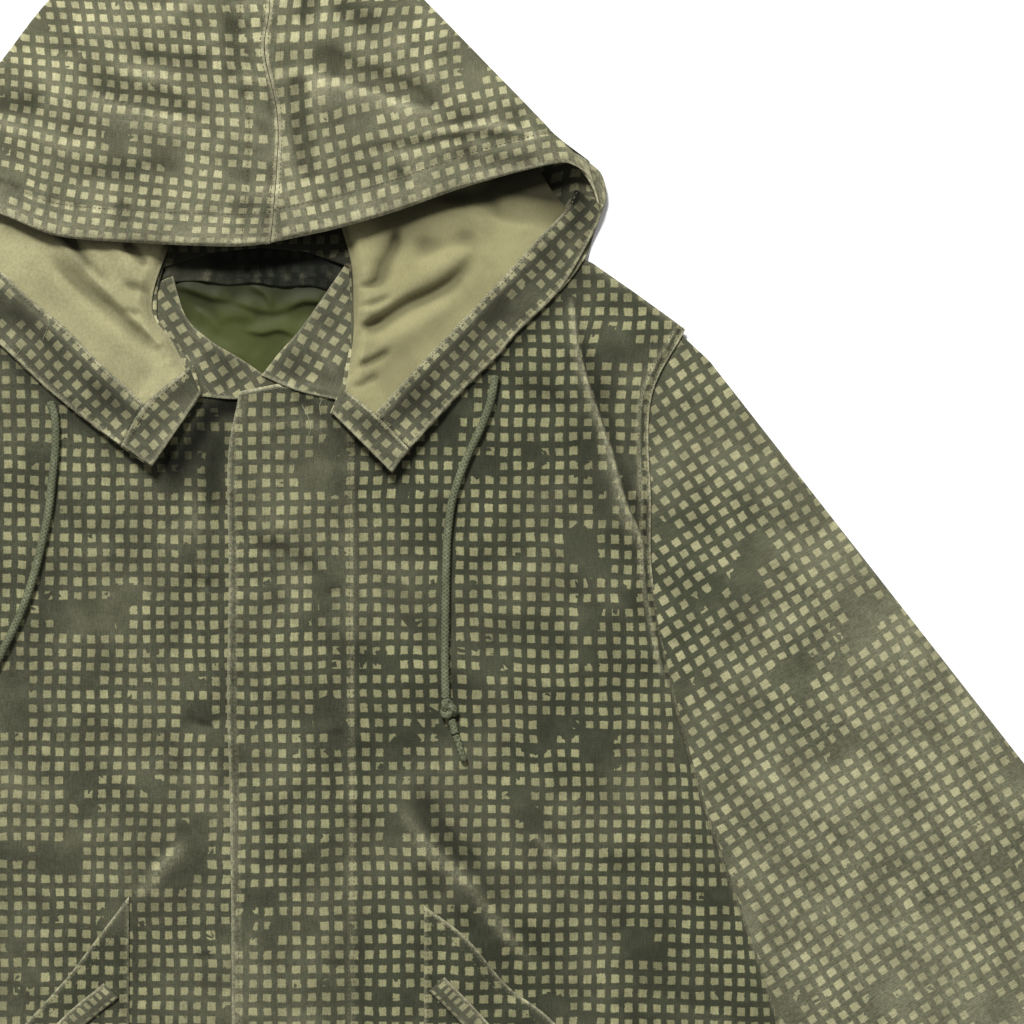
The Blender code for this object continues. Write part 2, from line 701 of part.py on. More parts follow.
def inward_of_fold(side):
    """Unit directions from the outer fold towards the inside of the hood."""
    fold = np.array([smooth_line(OUTER_FOLD[side])(t) for t in even(HOOD_COLUMNS)])
    run = np.gradient(fold, axis=0)
    inward = np.stack([run[:, 1], -run[:, 0]], axis=-1) / np.linalg.norm(run, axis=-1, keepdims=True)
    inward *= np.sign(((np.array(HOOD_MIDDLE) - fold) * inward).sum(axis=-1, keepdims=True))
    inward[-1] = (0, -1)
    return inward


def crown_points(side, fold_foot):
    """The upper part of a hood half, outside up, from its front edge to the outer fold."""
    place = patch(
        smooth_line(CROWN_FRONT[side]),
        smooth_line(OUTER_FOLD[side]),
        cornered_line([CROWN_FRONT[side][0], OUTER_FOLD[side][0]]),
        smooth_line(CENTRE_SEAM[side]),
    )
    inward = inward_of_fold(side)
    columns, rows = even(HOOD_COLUMNS), even(CROWN_ROWS)
    plan = spread(place, columns, rows)
    plan += FOLD_RADIUS * np.multiply.outer(np.array(rows), inward)
    front_height = CORNER_EDGE + (CROWN_EDGE - CORNER_EDGE) * ease(columns, 0.0, EDGE_RISE)
    fold_height = fold_foot + 2 * FOLD_RADIUS
    rise = 1 - np.array(rows) ** CROWN_FALL
    height = fold_height + np.outer(rise, front_height - fold_height)
    quiet_edges = np.outer(ease(1 - np.array(rows), 0, 0.3), ease(columns, 0, 0.2) * ease(1 - columns, 0, 0.1))
    height += folds(plan, CROWN_FOLDS[side]) * quiet_edges
    return np.dstack([for_side(plan, side), height])


def fold_points(side, foot):
    """Rows round the outer fold, from the crown down to the lower part."""
    fold = np.array([smooth_line(OUTER_FOLD[side])(t) for t in even(HOOD_COLUMNS)])
    inward = inward_of_fold(side)
    rows = []
    for angle in FOLD_TURNS:
        plan = fold + FOLD_RADIUS * (1 - math.sin(math.radians(angle))) * inward
        height = foot + FOLD_RADIUS * (1 + math.cos(math.radians(angle)))
        rows.append(np.column_stack([for_side(plan, side), height]))
    return np.array(rows)


def add_hood(name, side, below, collection):
    """A hood half: crown, outer fold and lower part in one piece. Returns its lower part's upper side."""
    under = under_points(side, below)
    foot = under[0, :, 2]
    points = np.concatenate([crown_points(side, foot), fold_points(side, foot), under])
    mesh = grid(points)
    turn_out(mesh, max(mesh.faces, key=lambda face: face.calc_center_median().z))
    give_thickness(add_piece(name, mesh, "print", collection), -1.0)
    return upper_side(under)


def lining_points(side, below):
    inner_edge = np.array(FACING_INNER[side], float)[:-1] + LAP * np.array([0.7, -0.7])
    outer = smooth_line([tuple(point) for point in inner_edge] + LINING_INSIDE[side])
    neck = smooth_line(LINING_NECK[side])
    place = patch(cornered_line([neck(0), outer(0)]), cornered_line([neck(1), outer(1)]), neck, outer)
    plan = spread(place, even(7), even(9))
    return lay(for_side(plan, side), below, folds(plan, LINING_FOLDS[side]))


def facing_points(side, below):
    inner, outer = smooth_line(FACING_INNER[side]), smooth_line(FACING_OUTER[side])
    place = patch(cornered_line([inner(0), outer(0)]), cornered_line([inner(1), outer(1)]), inner, outer)
    return lay(for_side(spread(place, even(3), even(10)), side), below)


def band_points(side, below):
    top, bottom = smooth_line(BAND_TOP[side]), smooth_line(BAND_BOTTOM[side])
    place = patch(top, bottom, cornered_line([top(0), bottom(0)]), cornered_line([top(1), bottom(1)]))
    return lay(for_side(spread(place, even(4), even(2)), side), below)


# Drawcords


def cord_points(line, length, below):
    """Points along a cord that lies on what is below it."""
    radius = CORD / 2
    points = []
    for t in even(max(2, round(length / CORD_STEP))):
        x, y = line(t)
        reach = [ground(x + dx, y, below) for dx in (-radius, 0, radius)]
        points.append((x, y, max(reach) + radius))
    heights = np.array([z for _, _, z in points])
    level = np.maximum(heights, np.convolve(np.pad(heights, 1, mode="edge"), [0.25, 0.5, 0.25], "valid"))
    return [(x, y, z) for (x, y, _), z in zip(points, level)]


def add_cord(name, points, collection):
    curve = bpy.data.curves.new(name, "CURVE")
    curve.dimensions = "3D"
    curve.bevel_depth = CORD / 2 * MM
    curve.bevel_resolution = CORD_SIDES
    curve.use_fill_caps = True
    spline = curve.splines.new("POLY")
    spline.points.add(len(points) - 1)
    for point, (x, y, z) in zip(spline.points, points):
        point.co = ((x - CENTRE[0]) * MM, (y - CENTRE[1]) * MM, z * MM, 1.0)
    curve.materials.append(finish(name, "cord"))
    collection.objects.link(bpy.data.objects.new(name, curve))


def line_length(line):
    dense = np.array([line(t) for t in even(60)])
    return float(np.linalg.norm(np.diff(dense, axis=0), axis=1).sum())


def add_knot(name, centre, heading, collection):
    mesh = bmesh.new()
    bmesh.ops.create_uvsphere(mesh, u_segments=12, v_segments=8, radius=1.0)
    turn = math.atan2(heading[1], heading[0]) - math.pi / 2
    for vert in mesh.verts:
        across, along, up = (size * value for size, value in zip(KNOT, vert.co))
        x = centre[0] + across * math.cos(turn) - along * math.sin(turn)
        y = centre[1] + across * math.sin(turn) + along * math.cos(turn)
        vert.co = (x, y, centre[2] + up)
    add_piece(name, mesh, "cord", collection)


def add_tip(name, start, heading, collection):
    """The sealed tip: a short rod, a little narrower at its end."""
    mesh = bmesh.new()
    bmesh.ops.create_cone(
        mesh, segments=10, radius1=TIP_RADIUS, radius2=TIP_RADIUS * 0.8, depth=TIP_LENGTH, cap_ends=True
    )
    direction = Vector((*heading, 0.0)).normalized()
    turn = direction.to_track_quat("Z", "Y")
    middle = Vector(start) + direction * (TIP_LENGTH / 2)
    for vert in mesh.verts:
        vert.co = turn @ vert.co + middle
    add_piece(name, mesh, "tip", collection)


def add_drawcord(side, below, collection):
    route = smooth_line([tuple(p) for p in for_side(CORD_ROUTE[side], side)])
    add_cord(f"cord_{side}", cord_points(route, line_length(route), below), collection)
    last = route(1)
    heading = for_side([CORD_TAIL[side][0]], side)[0] - last
    unit = heading / np.linalg.norm(heading)
    centre = last + unit * (KNOT[1] + GAP)
    height = ground(*centre, below) + max(KNOT[2], CORD / 2)
    add_knot(f"cord_knot_{side}", (*centre, height), unit, collection)
    tail = smooth_line([tuple(p) for p in for_side(CORD_TAIL[side], side)])
    start = centre + unit * (KNOT[1] + GAP)
    shift = start - tail(0)
    tail_points = cord_points(lambda t: tail(t) + shift, line_length(tail), below)
    level = max(z for _, _, z in tail_points)
    add_cord(f"cord_end_{side}", [(x, y, level) for x, y, _ in tail_points], collection)
    tip_heading = for_side([TIP_HEADING[side]], side)[0]
    tip_unit = tip_heading / np.linalg.norm(tip_heading)
    tip_start = tail(1) + shift + tip_unit * GAP
    add_tip(f"cord_tip_{side}", (*tip_start, level + TIP_RADIUS - CORD / 2), tip_heading, collection)


def main():
    clear_scene()
    parka = make_collection("fishtail_parka")
    below = [add_sleeve(f"sleeve_{side}", side, parka) for side in ("left", "right")]
    below.append(add_sheet("back", back_points(below), "print", parka))
    below.append(add_sheet("back_lining", back_lining_points(below), "nylon", parka))
    below.append(add_sheet("back_neck_facing", back_neck_points(below), "print", parka))
    below.append(add_sheet("front_right", front_points("right", below), "print", parka))
    below.append(add_sheet("neck_facing_right", neck_facing_points("right", below), "print", parka))
    below.append(add_sheet("fly_facing", fly_points(below), "print", parka))
    below.append(add_sheet("front_left", front_points("left", below), "print", parka))
    below.append(add_sheet("neck_facing_left", neck_facing_points("left", below), "print", parka))
    for side in ("right", "left"):
        below.append(add_sheet(f"pocket_{side}", pocket_points(side, below), "print", parka))
        below.append(add_sheet(f"pocket_welt_{side}", welt_points(side, below), "print", parka))
    for side in ("right", "left"):
        below.append(add_hood(f"hood_{side}", side, below, parka))
        below.append(add_sheet(f"hood_lining_{side}", lining_points(side, below), "lining", parka))
        below.append(add_sheet(f"hood_facing_{side}", facing_points(side, below), "print", parka))
        below.append(add_sheet(f"hood_band_{side}", band_points(side, below), "print", parka))
    for side in ("right", "left"):
        add_drawcord(side, below, parka)


main()
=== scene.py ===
# %% [markdown]
# # A fishtail parka, laid flat
#
# A long hooded coat in a faded grid camouflage lies on its back with the hood turned open. This
# notebook dresses the plain solids of the coat: every cloth piece becomes a thin shell on a fine
# grid, with its creases, seams and wear, and the print is drawn by shader nodes.
#
# Every size is in millimetres until a mesh is made. Y runs towards the hood, and X towards the
# wearer's left sleeve.

import math

import bmesh
import bpy
import numpy as np
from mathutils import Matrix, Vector
from mathutils.bvhtree import BVHTree


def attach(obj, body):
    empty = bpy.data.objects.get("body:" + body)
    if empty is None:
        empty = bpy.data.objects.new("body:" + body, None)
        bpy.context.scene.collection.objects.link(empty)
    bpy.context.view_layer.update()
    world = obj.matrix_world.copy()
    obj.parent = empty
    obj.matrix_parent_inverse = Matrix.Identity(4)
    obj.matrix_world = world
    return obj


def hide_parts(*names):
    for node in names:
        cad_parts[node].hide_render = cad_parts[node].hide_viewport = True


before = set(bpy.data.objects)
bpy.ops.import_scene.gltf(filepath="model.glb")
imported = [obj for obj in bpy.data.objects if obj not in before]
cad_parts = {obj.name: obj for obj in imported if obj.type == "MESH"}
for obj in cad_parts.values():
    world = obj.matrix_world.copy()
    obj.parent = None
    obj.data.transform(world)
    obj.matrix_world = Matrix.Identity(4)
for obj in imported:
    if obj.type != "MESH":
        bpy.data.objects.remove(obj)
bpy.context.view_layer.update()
MM = 0.001
CENTRE = np.array([0.0, -317.0])  # the middle of the garment in the tables
SIDES = ("left", "right")


# %% [markdown]
# ## Camera, floor and light
#
# The coat was photographed from straight above, so the camera looks down with no tilt. A long lens
# from far away keeps the raised hood from leaning outwards. Cloth needs a large soft light, so
# that folds show as gentle changes of tone: one broad lamp stands beyond the hood, and an even sky
# fills the shadows.

# %% Camera, floor and light
VIEW_MIDDLE = (158.75, -77.5)  # the middle of the picture
VIEW_WIDTH = 650.2
VIEW_HEIGHT = 2400.0
SENSOR = 36.0
FAR = 20.0  # metres that the camera sees
FLOOR_DROP = 0.0006  # metres, so that cloth and floor share no surface
scene = bpy.context.scene


def to_world(x, y, z=0.0):
    return Vector(((x - CENTRE[0]) * MM, (y - CENTRE[1]) * MM, z * MM))


def add_object(name, data):
    thing = bpy.data.objects.new(name, data)
    scene.collection.objects.link(thing)
    return thing


def add_camera():
    data = bpy.data.cameras.new("camera")
    data.sensor_width = SENSOR
    data.lens = SENSOR * VIEW_HEIGHT / VIEW_WIDTH
    data.clip_end = FAR
    scene.camera = add_object("camera", data)
    scene.camera.location = to_world(*VIEW_MIDDLE, VIEW_HEIGHT)


def add_lamp(name, place, target, size, watts):
    data = bpy.data.lights.new(name, "AREA")
    data.shape = "DISK"
    data.size = size
    data.energy = watts
    lamp = add_object(name, data)
    lamp.location = place
    lamp.rotation_mode = "QUATERNION"
    lamp.rotation_quaternion = (Vector(target) - Vector(place)).to_track_quat("-Z", "Y")


def add_floor(width, tone, roughness):
    mesh = bpy.data.meshes.new("floor")
    corners = [(width / 2 * x, width / 2 * y, 0) for x, y in ((-1, -1), (1, -1), (1, 1), (-1, 1))]
    mesh.from_pydata(corners, [], [(0, 1, 2, 3)])
    material = bpy.data.materials.new("floor")
    material.use_nodes = True
    shader = material.node_tree.nodes["Principled BSDF"]
    shader.inputs["Base Color"].default_value = (tone, tone, tone, 1)
    shader.inputs["Roughness"].default_value = roughness
    mesh.materials.append(material)
    floor = add_object("floor", mesh)
    floor.location = (0, 0, -FLOOR_DROP)


def add_sky(strength):
    scene.world = bpy.data.worlds.new("studio")
    scene.world.use_nodes = True
    background = scene.world.node_tree.nodes["Background"]
    background.inputs["Color"].default_value = (1.0, 1.0, 1.0, 1)
    background.inputs["Strength"].default_value = strength


add_camera()
add_floor(width=14.0, tone=0.92, roughness=0.9)
add_sky(strength=0.36)
add_lamp("key", place=(-1.3, 4.6, 4.5), target=(0.1, 0.2, 0.0), size=1.5, watts=640.0)
scene.view_settings.view_transform = "Standard"
print("camera looks straight down from", VIEW_HEIGHT, "mm over a field of", VIEW_WIDTH, "mm")

# %% [markdown]
# ## The outline of each piece
#
# A tailor works from paper patterns. Here each cloth piece has its outline in a short table, and
# the fine shells use the same tables as the solids, so they match them. A table for the
# wearer's right side has its X turned round, so that it also grows outwards.

# %% Tables of the body
FRONT_HEM = -850.0
HALF_HEM = 348.0
TAIL = 108.0  # how far the tails drop below the front hem
VENT = 120.0  # how high the slit between them goes
BACK_INSET = 5.0
FRONT_REACH = (0.45, 0.9)  # the part of a front's width over which its edges bend the grid
FLY_WIDTH = 79.0
FLY_SHOW = 2.2

# Armhole seam and side of the body, from the shoulder point down
SIDE = [
    (268.6, 38.1), (247, -6), (246.8, -70), (250, -133), (278, -248), (322, -378), (342, -455),
    (350, -560), (352, -700), (HALF_HEM, FRONT_HEM),
]
# Top edge of the back from the centre out: back neck, neck point of the shoulder, shoulder point
BACK_TOP = [
    (0, 96), (28, 97), (56, 103), (80, 118), (112, 113), (150, 104), (190, 90), (228, 67), (264, 40),
]
# Lower edge of the back: place from the centre out, and how much of the tail's drop it has
TAIL_EDGE = [(0, 0.96), (10, 0.97), (60, 1), (130, 0.93), (210, 0.68), (290, 0.3), (344, 0)]
BACK_COLUMNS = [0, 0.03, 0.1, 0.2, 0.32, 0.45, 0.58, 0.7, 0.82, 0.92, 1]
BACK_ROWS = [
    0, 0.02, 0.05, 0.09, 0.13, 0.17, 0.21, 0.26, 0.31, 0.36, 0.41, 0.47, 0.54, 0.62, 0.72, 0.83, 0.93, 1,
]
# Columns of a front: a point (x, y) on its top edge, then its x along the hem
SHOULDER_COLUMNS = [
    (112, 112.5, 168), (150, 103.5, 196), (182, 93, 226), (209.6, 80.5, 256), (236, 62, 290),
    (262, 43, 336), (268.6, 38.1, HALF_HEM),
]
FRONT_COLUMNS = {
    "left": [
        (-14, -3.2, -16), (10, 1.5, 14), (34, 1.5, 44), (52, -4, 72), (60, 26, 96), (63, 70, 118),
        (80, 117, 140), *SHOULDER_COLUMNS,
    ],
    "right": [
        (-36, -5, -38), (-10, -5, -8), (14, -4, 24), (40, -4, 60), (60, 30, 92), (70, 74, 118),
        (82, 116.5, 140), *SHOULDER_COLUMNS,
    ],
}
# Centre-front edge of each front. The left one is the fly edge, which lies on top.
FLY_EDGE = {
    "left": [(-14, -3.2), (-21, -45), (-20.5, -120), (-21.5, -200), (-19, -330), (-16, -850)],
    "right": [(-36, -5), (-38, -400), (-38, -850)],
}
# Sleeve: its hidden armhole end, then its inner fold towards the cuff
SLEEVE_HEAD = [
    (258, 42.5), (238, 0), (235, -70), (234, -133), (220, -190), (194, -238), (165, -264),
]
SLEEVE_INNER = [(165, -264), (215, -316), (275, -378), (337, -438), (415, -502)]
SLEEVE_HEIGHTS = [(0, 3.6), (0.12, 4.2), (0.4, 5.6), (0.75, 5.8), (1, 5.4)]  # part of its length, height

# Pockets: slanted top edge from its apex outward, and the welt of the mouth
POCKET_TOP = {
    "left": [(103, -327), (129.5, -347), (156, -378), (182, -398), (232, -448)],
    "right": [(84, -321), (106, -350), (128, -378), (168, -420), (222, -462)],
}
POCKET_BOTTOM = -640.0
POCKET_FLARE = 20.0  # how much wider the patch is at its lower outer corner
WELT_LINE = {
    "left": [(116, -372), (142, -399), (196, -462)],
    "right": [(100, -376), (131, -403), (188, -468)],
}
WELT_WIDTH = 13.0

# %% Tables of the hood
LAP = 4.0  # how far one piece goes under the next at a lapped seam
FOLD_RADIUS = 3.2
CROWN_EDGE = 22.0  # how high the crown's front edge stands, and at its corner
CORNER_EDGE = 12.0
CORNER_ROLL = 4.0
HOOD_MIDDLE = (60.0, 130.0)

# The crown is the part that lies on top, outside up. Its edge rolls round the corner.
CROWN_FRONT = {
    "left": [
        (214, 117), (211, 128), (206, 136), (198, 141), (189, 142.5), (164, 137), (126, 126),
        (88, 112.5), (49, 101), (7, 92),
    ],
    "right": [(227, 119), (208, 119), (166.5, 111), (128, 96.5), (77.5, 92), (20, 89.5), (-6.4, 91.4)],
}
OUTER_FOLD = {
    "left": [
        (207, 146), (186, 162), (163, 186), (140, 209.5), (103, 247.5), (60, 290), (22, 317),
        (-14.5, 324),
    ],
    "right": [
        (232, 126), (212, 152), (188, 182), (164.5, 209.5), (134.6, 247.6), (84, 298), (46, 320),
        (15.6, 324),
    ],
}
CORNER = {
    "left": [(207, 146), (216, 137), (218.5, 122), (213, 105)],
    "right": [(232, 126), (238, 112), (236, 96), (228, 84)],
}
STRIP_EDGE = {
    "left": [
        (213, 105), (204, 82), (190, 63.5), (162, 35.5), (150, 21), (127, -2), (94.6, -37.5),
        (83.2, -53.3),
    ],
    "right": [
        (228, 84), (214, 68), (196, 52), (166.4, 28.6), (137.2, 1.3), (113, -18.4), (89.5, -35.6),
        (69.2, -49.5),
    ],
}
CENTRE_SEAM = {
    "left": [(7, 92), (11, 140), (11, 175), (3, 215), (6, 248), (-4, 288), (-14.5, 324)],
    "right": [
        (-6.4, 91.4), (-10.4, 140), (-10.4, 175), (-2.4, 215), (-5.4, 248), (4.6, 288), (15.6, 324),
    ],
}
# The lower part's inner edge: down the centre seam, along the neck seam, then the end band to its tip
UNDER_EDGE = {
    "left": [
        (-14.5, 324), (-10, 270), (-6, 215), (-2, 160), (0, 118), (0, 92), (29, 89), (55.5, 79),
        (57, 51), (56.5, 30), (51, 3), (43.8, -14), (63, -33), (83.2, -53.3),
    ],
    "right": [
        (15.6, 324), (10.6, 270), (6.6, 215), (2.6, 160), (0.6, 118), (0.6, 92), (30, 89), (62, 79),
        (66, 63), (66, 46), (54, 30), (42, 14), (37.5, -3), (69.2, -49.5),
    ],
}
# Printed facing along the hood's front edge: its inner and outer edges, on under the crown
FACING_INNER = {
    "left": [
        (72.4, -15.2), (98, 13), (124.5, 40.6), (153.7, 71.1), (176, 96), (192, 113), (199, 127),
    ],
    "right": [(73, -9.5), (101.6, 17.1), (125.7, 41.3), (145.4, 57.2), (166.4, 77), (196, 100)],
}
FACING_OUTER = {
    "left": [
        (94.2, -37), (126.3, -1.6), (149.5, 21.4), (161.5, 36), (189.4, 64), (211, 101), (217, 117),
    ],
    "right": [(89, -35), (112.6, -17.8), (136.8, 1.9), (166, 29.2), (195.5, 52.6), (225, 82)],
}
FACING_SHOWN = 6  # how many points of its outer edge lie over a front
BAND_TOP = {
    "left": [(53.3, -0.3), (72.4, -15.6), (93.4, -37.2)],
    "right": [(45.2, 14), (72.6, -9.8), (88.2, -35)],
}
BAND_BOTTOM = {
    "left": [(44.4, -14), (63.2, -32.6), (82.8, -52.4)],
    "right": [(38.2, -3), (53, -25.5), (68.8, -48.4)],
}
# Lining: its edge along the neck seam, and the points its outer edge goes on to under the crown
LINING_NECK = {
    "left": [(53, -4), (58, 30), (58.5, 51), (57, 80), (48, 112), (40, 150), (36, 190)],
    "right": [(46, 10), (56.5, 31), (67.6, 46), (67.6, 64), (56, 100), (46, 145), (40, 185)],
}
LINING_INSIDE = {"left": [(184, 126), (166, 158)], "right": [(197, 122), (170, 160)]}
# Inside front neck: the seam with the hood, the edge of the neck opening, and the lower edge. Under
# the collar the right one goes on below the left one.
NECK_SEAM = {
    "left": [(59, 80), (60.5, 51), (60, 30), (55, 8), (50, -7)],
    "right": [(70, 66), (70, 46), (60, 32), (48, 14), (42, -4)],
}
NECK_EDGE = {
    "left": [(53, 79), (38, 57), (24, 37.5), (11, 23), (0, 9)],
    "right": [(56, 72), (47.6, 46), (32, 31), (14, 20), (-1, 10), (-16, 0.5)],
}
NECK_BOTTOM = {
    "left": [(0, 9), (24, -1), (50, -7)],
    "right": [(-16, 0.5), (0, -5), (18, -6), (42, -4)],
}
# Drawcords: free length down to the knot, the short end after it, and where the tip points
CORD_ROUTE = {
    "left": [
        (148.2, 9), (145.6, -6), (140, -22), (132.5, -38), (126, -54), (121, -70), (118.3, -88),
        (117.2, -106), (116.8, -128), (116.5, -150), (116.3, -172), (116.8, -196),
    ],
    "right": [
        (133.8, -7.5), (130.6, -18), (130.2, -36), (132.2, -56), (134.5, -76), (138.5, -96),
        (144, -118), (150, -136), (157, -152), (164, -166), (172, -182), (180, -199),
    ],
}
CORD_TAIL = {
    "left": [(120.2, -208.4), (121.6, -213), (122.8, -218)],
    "right": [(186.6, -210), (188.8, -214), (191, -218.6)],
}
TIP_HEADING = {"left": (6.4, -19), "right": (8.6, -18)}

# %% [markdown]
# ## Lines and patches
#
# A pattern piece is bounded by four lines. A patch fills it with a grid: every point is a mix of the
# four lines, so the grid bends as the edges do. The lines take whole arrays, which keeps a grid of
# forty thousand points quick.

# %% Lines and patches
FINE = 240  # points on a line that is measured


def smooth_line(points):
    """A smooth line through the points, as a function of 0 to 1 in even steps from point to point."""
    knots = np.array(points, float)
    slopes = np.gradient(knots, axis=0)
    spans = len(knots) - 1

    def at(t):
        place = np.clip(np.asarray(t, float), 0, 1) * spans
        i = np.minimum(place.astype(int), spans - 1)
        f = (place - i)[..., None]
        start = (1 + 2 * f) * (1 - f) ** 2 * knots[i] + f * (1 - f) ** 2 * slopes[i]
        return start + f * f * (3 - 2 * f) * knots[i + 1] + f * f * (f - 1) * slopes[i + 1]

    return at


def cornered_line(points):
    """Straight runs between the points, as a function of 0 to 1 in even steps from point to point."""
    knots = np.array(points, float)
    steps = np.linspace(0, 1, len(knots))
    return lambda t: np.stack([np.interp(t, steps, knots[:, k]) for k in (0, 1)], axis=-1)


def falling_line(points):
    """A smooth line that only falls, as a function of 0 to 1 in even steps of height."""
    line = smooth_line(points)(np.linspace(0, 1, FINE))
    drop = np.maximum.accumulate(line[0, 1] - line[:, 1])

    def at(t):
        fall = np.asarray(t, float) * drop[-1]
        return np.stack([np.interp(fall, drop, line[:, 0]), line[0, 1] - fall], axis=-1)

    return at


def level_line(points):
    """Straight runs between points that go down, as a function of 0 to 1 in even steps of height."""
    x, y = np.array(points, float).T

    def at(t):
        level = y[0] + np.asarray(t) * (y[-1] - y[0])
        return np.stack([np.interp(-level, -y, x), level], axis=-1)

    return at


def joined_ends(one, other):
    """The two straight lines that join the ends of a pair of lines."""
    return [cornered_line([one(t), other(t)]) for t in (0.0, 1.0)]


def even(count):
    return np.linspace(0, 1, count + 1)


def dense(points, count=60):
    return smooth_line(points)(np.linspace(0, 1, count))


def finer(steps, times):
    """The same steps, each cut into some more."""
    steps = np.array(steps, float)
    return np.interp(np.arange((len(steps) - 1) * times + 1) / times, np.arange(len(steps)), steps)


def ease(x, low, high):
    t = np.clip((np.asarray(x, float) - low) / (high - low), 0, 1)
    return t * t * (3 - 2 * t)


def patch(top, bottom, left, right, across, down, reach=(0.0, 1.0), steep=False):
    """The grid between four lines that meet at its corners: rows of (x, y)."""
    u, v = np.asarray(across)[None, :, None], np.asarray(down)[:, None, None]
    fade = ease if steep else lambda x, low, high: x
    bow_left = left(down)[:, None] - (1 - v) * top(0.0) - v * bottom(0.0)
    bow_right = right(down)[:, None] - (1 - v) * top(1.0) - v * bottom(1.0)
    straight = (1 - v) * top(across)[None] + v * bottom(across)[None]
    return straight + fade(1 - u, *reach) * bow_left + fade(u, *reach) * bow_right


def turned(points, side):
    """Turns a table's X round for the wearer's right."""
    out = np.array(points, float)
    if side == "right":
        out[..., 0] *= -1
    return out


def tilted(plan, degrees):
    """The map of a piece whose cloth was cut at an angle."""
    c, s = math.cos(math.radians(degrees)), math.sin(math.radians(degrees))
    return plan @ np.array([[c, -s], [s, c]])


def run_lengths(line):
    """How far along a line of points each of them is."""
    return np.concatenate([[0], np.cumsum(np.linalg.norm(np.diff(line, axis=0), axis=1))])


# %% [markdown]
# ## Creases, hills and seams
#
# Worn cloth is never flat. Three kinds of relief are added to each grid: creases, which are soft
# ridges or troughs along a drawn line, steeper on one side; hills, a smooth random swell from a
# fixed table of numbers; and seams, where the stitching pulls a groove and small puckers
# stand along it.

# %% Relief
LATTICE = np.random.default_rng(11).random((256, 256)) * 2 - 1
SEED_STEP = np.array([17.3, 7.9])  # how far apart two seeds look into the table


def bell(apart, width):
    """1 at no distance, and next to nothing beyond twice the width."""
    return np.exp(-((apart / width) ** 2))


def distance(plan, place):
    return np.linalg.norm(plan - place, axis=-1)


def unit(ways):
    return ways / np.linalg.norm(ways, axis=-1, keepdims=True)


def hills(plan, size, seed=0):
    """A smooth random swell between -1 and 1, about this size from hill to hill."""
    place = plan / size + seed * SEED_STEP
    corner = np.floor(place).astype(int)
    f = place - corner
    f = f * f * (3 - 2 * f)
    i, j = corner[..., 0] % 255, corner[..., 1] % 255
    low = LATTICE[i, j] * (1 - f[..., 0]) + LATTICE[i + 1, j] * f[..., 0]
    high = LATTICE[i, j + 1] * (1 - f[..., 0]) + LATTICE[i + 1, j + 1] * f[..., 0]
    return low * (1 - f[..., 1]) + high * f[..., 1]


def drift(plan, size, seed, step=1):
    """A smooth random shift of a map, up to 1 each way."""
    return np.stack([hills(plan, size, seed), hills(plan, size, seed + step)], axis=-1)


def near(plan, line):
    """For each plan point, its distance from a line, which side it is on, and how far along in mm."""
    start, run = line[:-1], np.diff(line, axis=0)
    length = np.linalg.norm(run, axis=1)
    rel = plan[..., None, :] - start
    t = np.clip((rel * run).sum(-1) / (length**2 + 1e-9), 0, 1)
    away = rel - t[..., None] * run
    apart = np.linalg.norm(away, axis=-1)
    k = apart.argmin(-1)[..., None]
    pick = lambda values: np.take_along_axis(values, k, -1)[..., 0]
    side = np.sign(pick(run[:, 0] * away[..., 1] - run[:, 1] * away[..., 0]))
    return pick(apart), side, pick(run_lengths(line)[:-1] + t * length)


def crease(plan, points, width, height, other=None):
    """A ridge, or a trough if height is negative. Other is its width on the line's right-hand side."""
    line = dense(points, 24)
    apart, side, along = near(plan, line)
    total = run_lengths(line)[-1]
    ends = ease(np.minimum(along, total - along), -0.04 * total, 0.3 * total)
    return height * ends * bell(apart, np.where(side < 0, other or width, width))


def creases(plan, table):
    return sum(crease(plan, *row) for row in table)


def seam(plan, line, groove=0.5, width=1.6, pucker=0.35, reach=7.0, wave=9.0, seed=0):
    """A stitched groove with small puckers that cross it."""
    apart, _, along = near(plan, line)
    place = np.stack([along, apart * 0.35], axis=-1)
    bumps = hills(place, wave, seed + 3) + 0.5 * hills(place, wave * 0.45, seed + 5)
    return pucker * bumps * bell(apart, reach) - groove * bell(apart, width)


def seams(plan, rows):
    return sum(seam(plan, *row) for row in rows)


def rubbed(plan, rows):
    """How worn the cloth is beside some lines. Each row: strength, line, width."""
    return sum(strength * bell(near(plan, line)[0], width) for strength, line, width in rows)


def densely(rows):
    """The same rows, with many points on each line."""
    return [(strength, dense(line), width) for strength, line, width in rows]


# %% [markdown]
# ## Laying cloth on cloth
#
# Each piece is laid on those already in place. Rays look down on them and give the lowest height
# that the new piece may have. Cloth can't follow a sharp step, so its height is then
# smoothed again and again, but never below that.

# %% Laying
CLOTH = 1.1
GAP = 0.35
SIGHT = 500.0  # how high the rays start
SMOOTHING = 50  # rounds of smoothing over the steps below
LAST_SMOOTHING = 3  # rounds that may sink a little
laid = {}


def grid_mesh(points):
    rows, columns = points.shape[:2]
    index = np.arange(rows * columns).reshape(rows, columns)
    cells = np.stack([index[:-1, :-1], index[1:, :-1], index[1:, 1:], index[:-1, 1:]], axis=-1)
    return points.reshape(-1, 3), cells.reshape(-1, 4)


def remember(name, top):
    """Keeps a piece's upper side, for what is laid on it later."""
    points, cells = grid_mesh(top)
    tree = BVHTree.FromPolygons(points.tolist(), cells.tolist())
    laid[name] = (tree, points.min(0)[:2], points.max(0)[:2])


def ground(plan, below):
    height = np.zeros(plan.shape[:-1])
    for name in below:
        tree, low, high = laid[name]
        for place in map(tuple, np.argwhere(((plan >= low) & (plan <= high)).all(-1))):
            hit = tree.ray_cast(Vector((*plan[place], SIGHT)), Vector((0, 0, -1)))[0]
            if hit is not None:
                height[place] = max(height[place], hit.z + GAP)
    return height


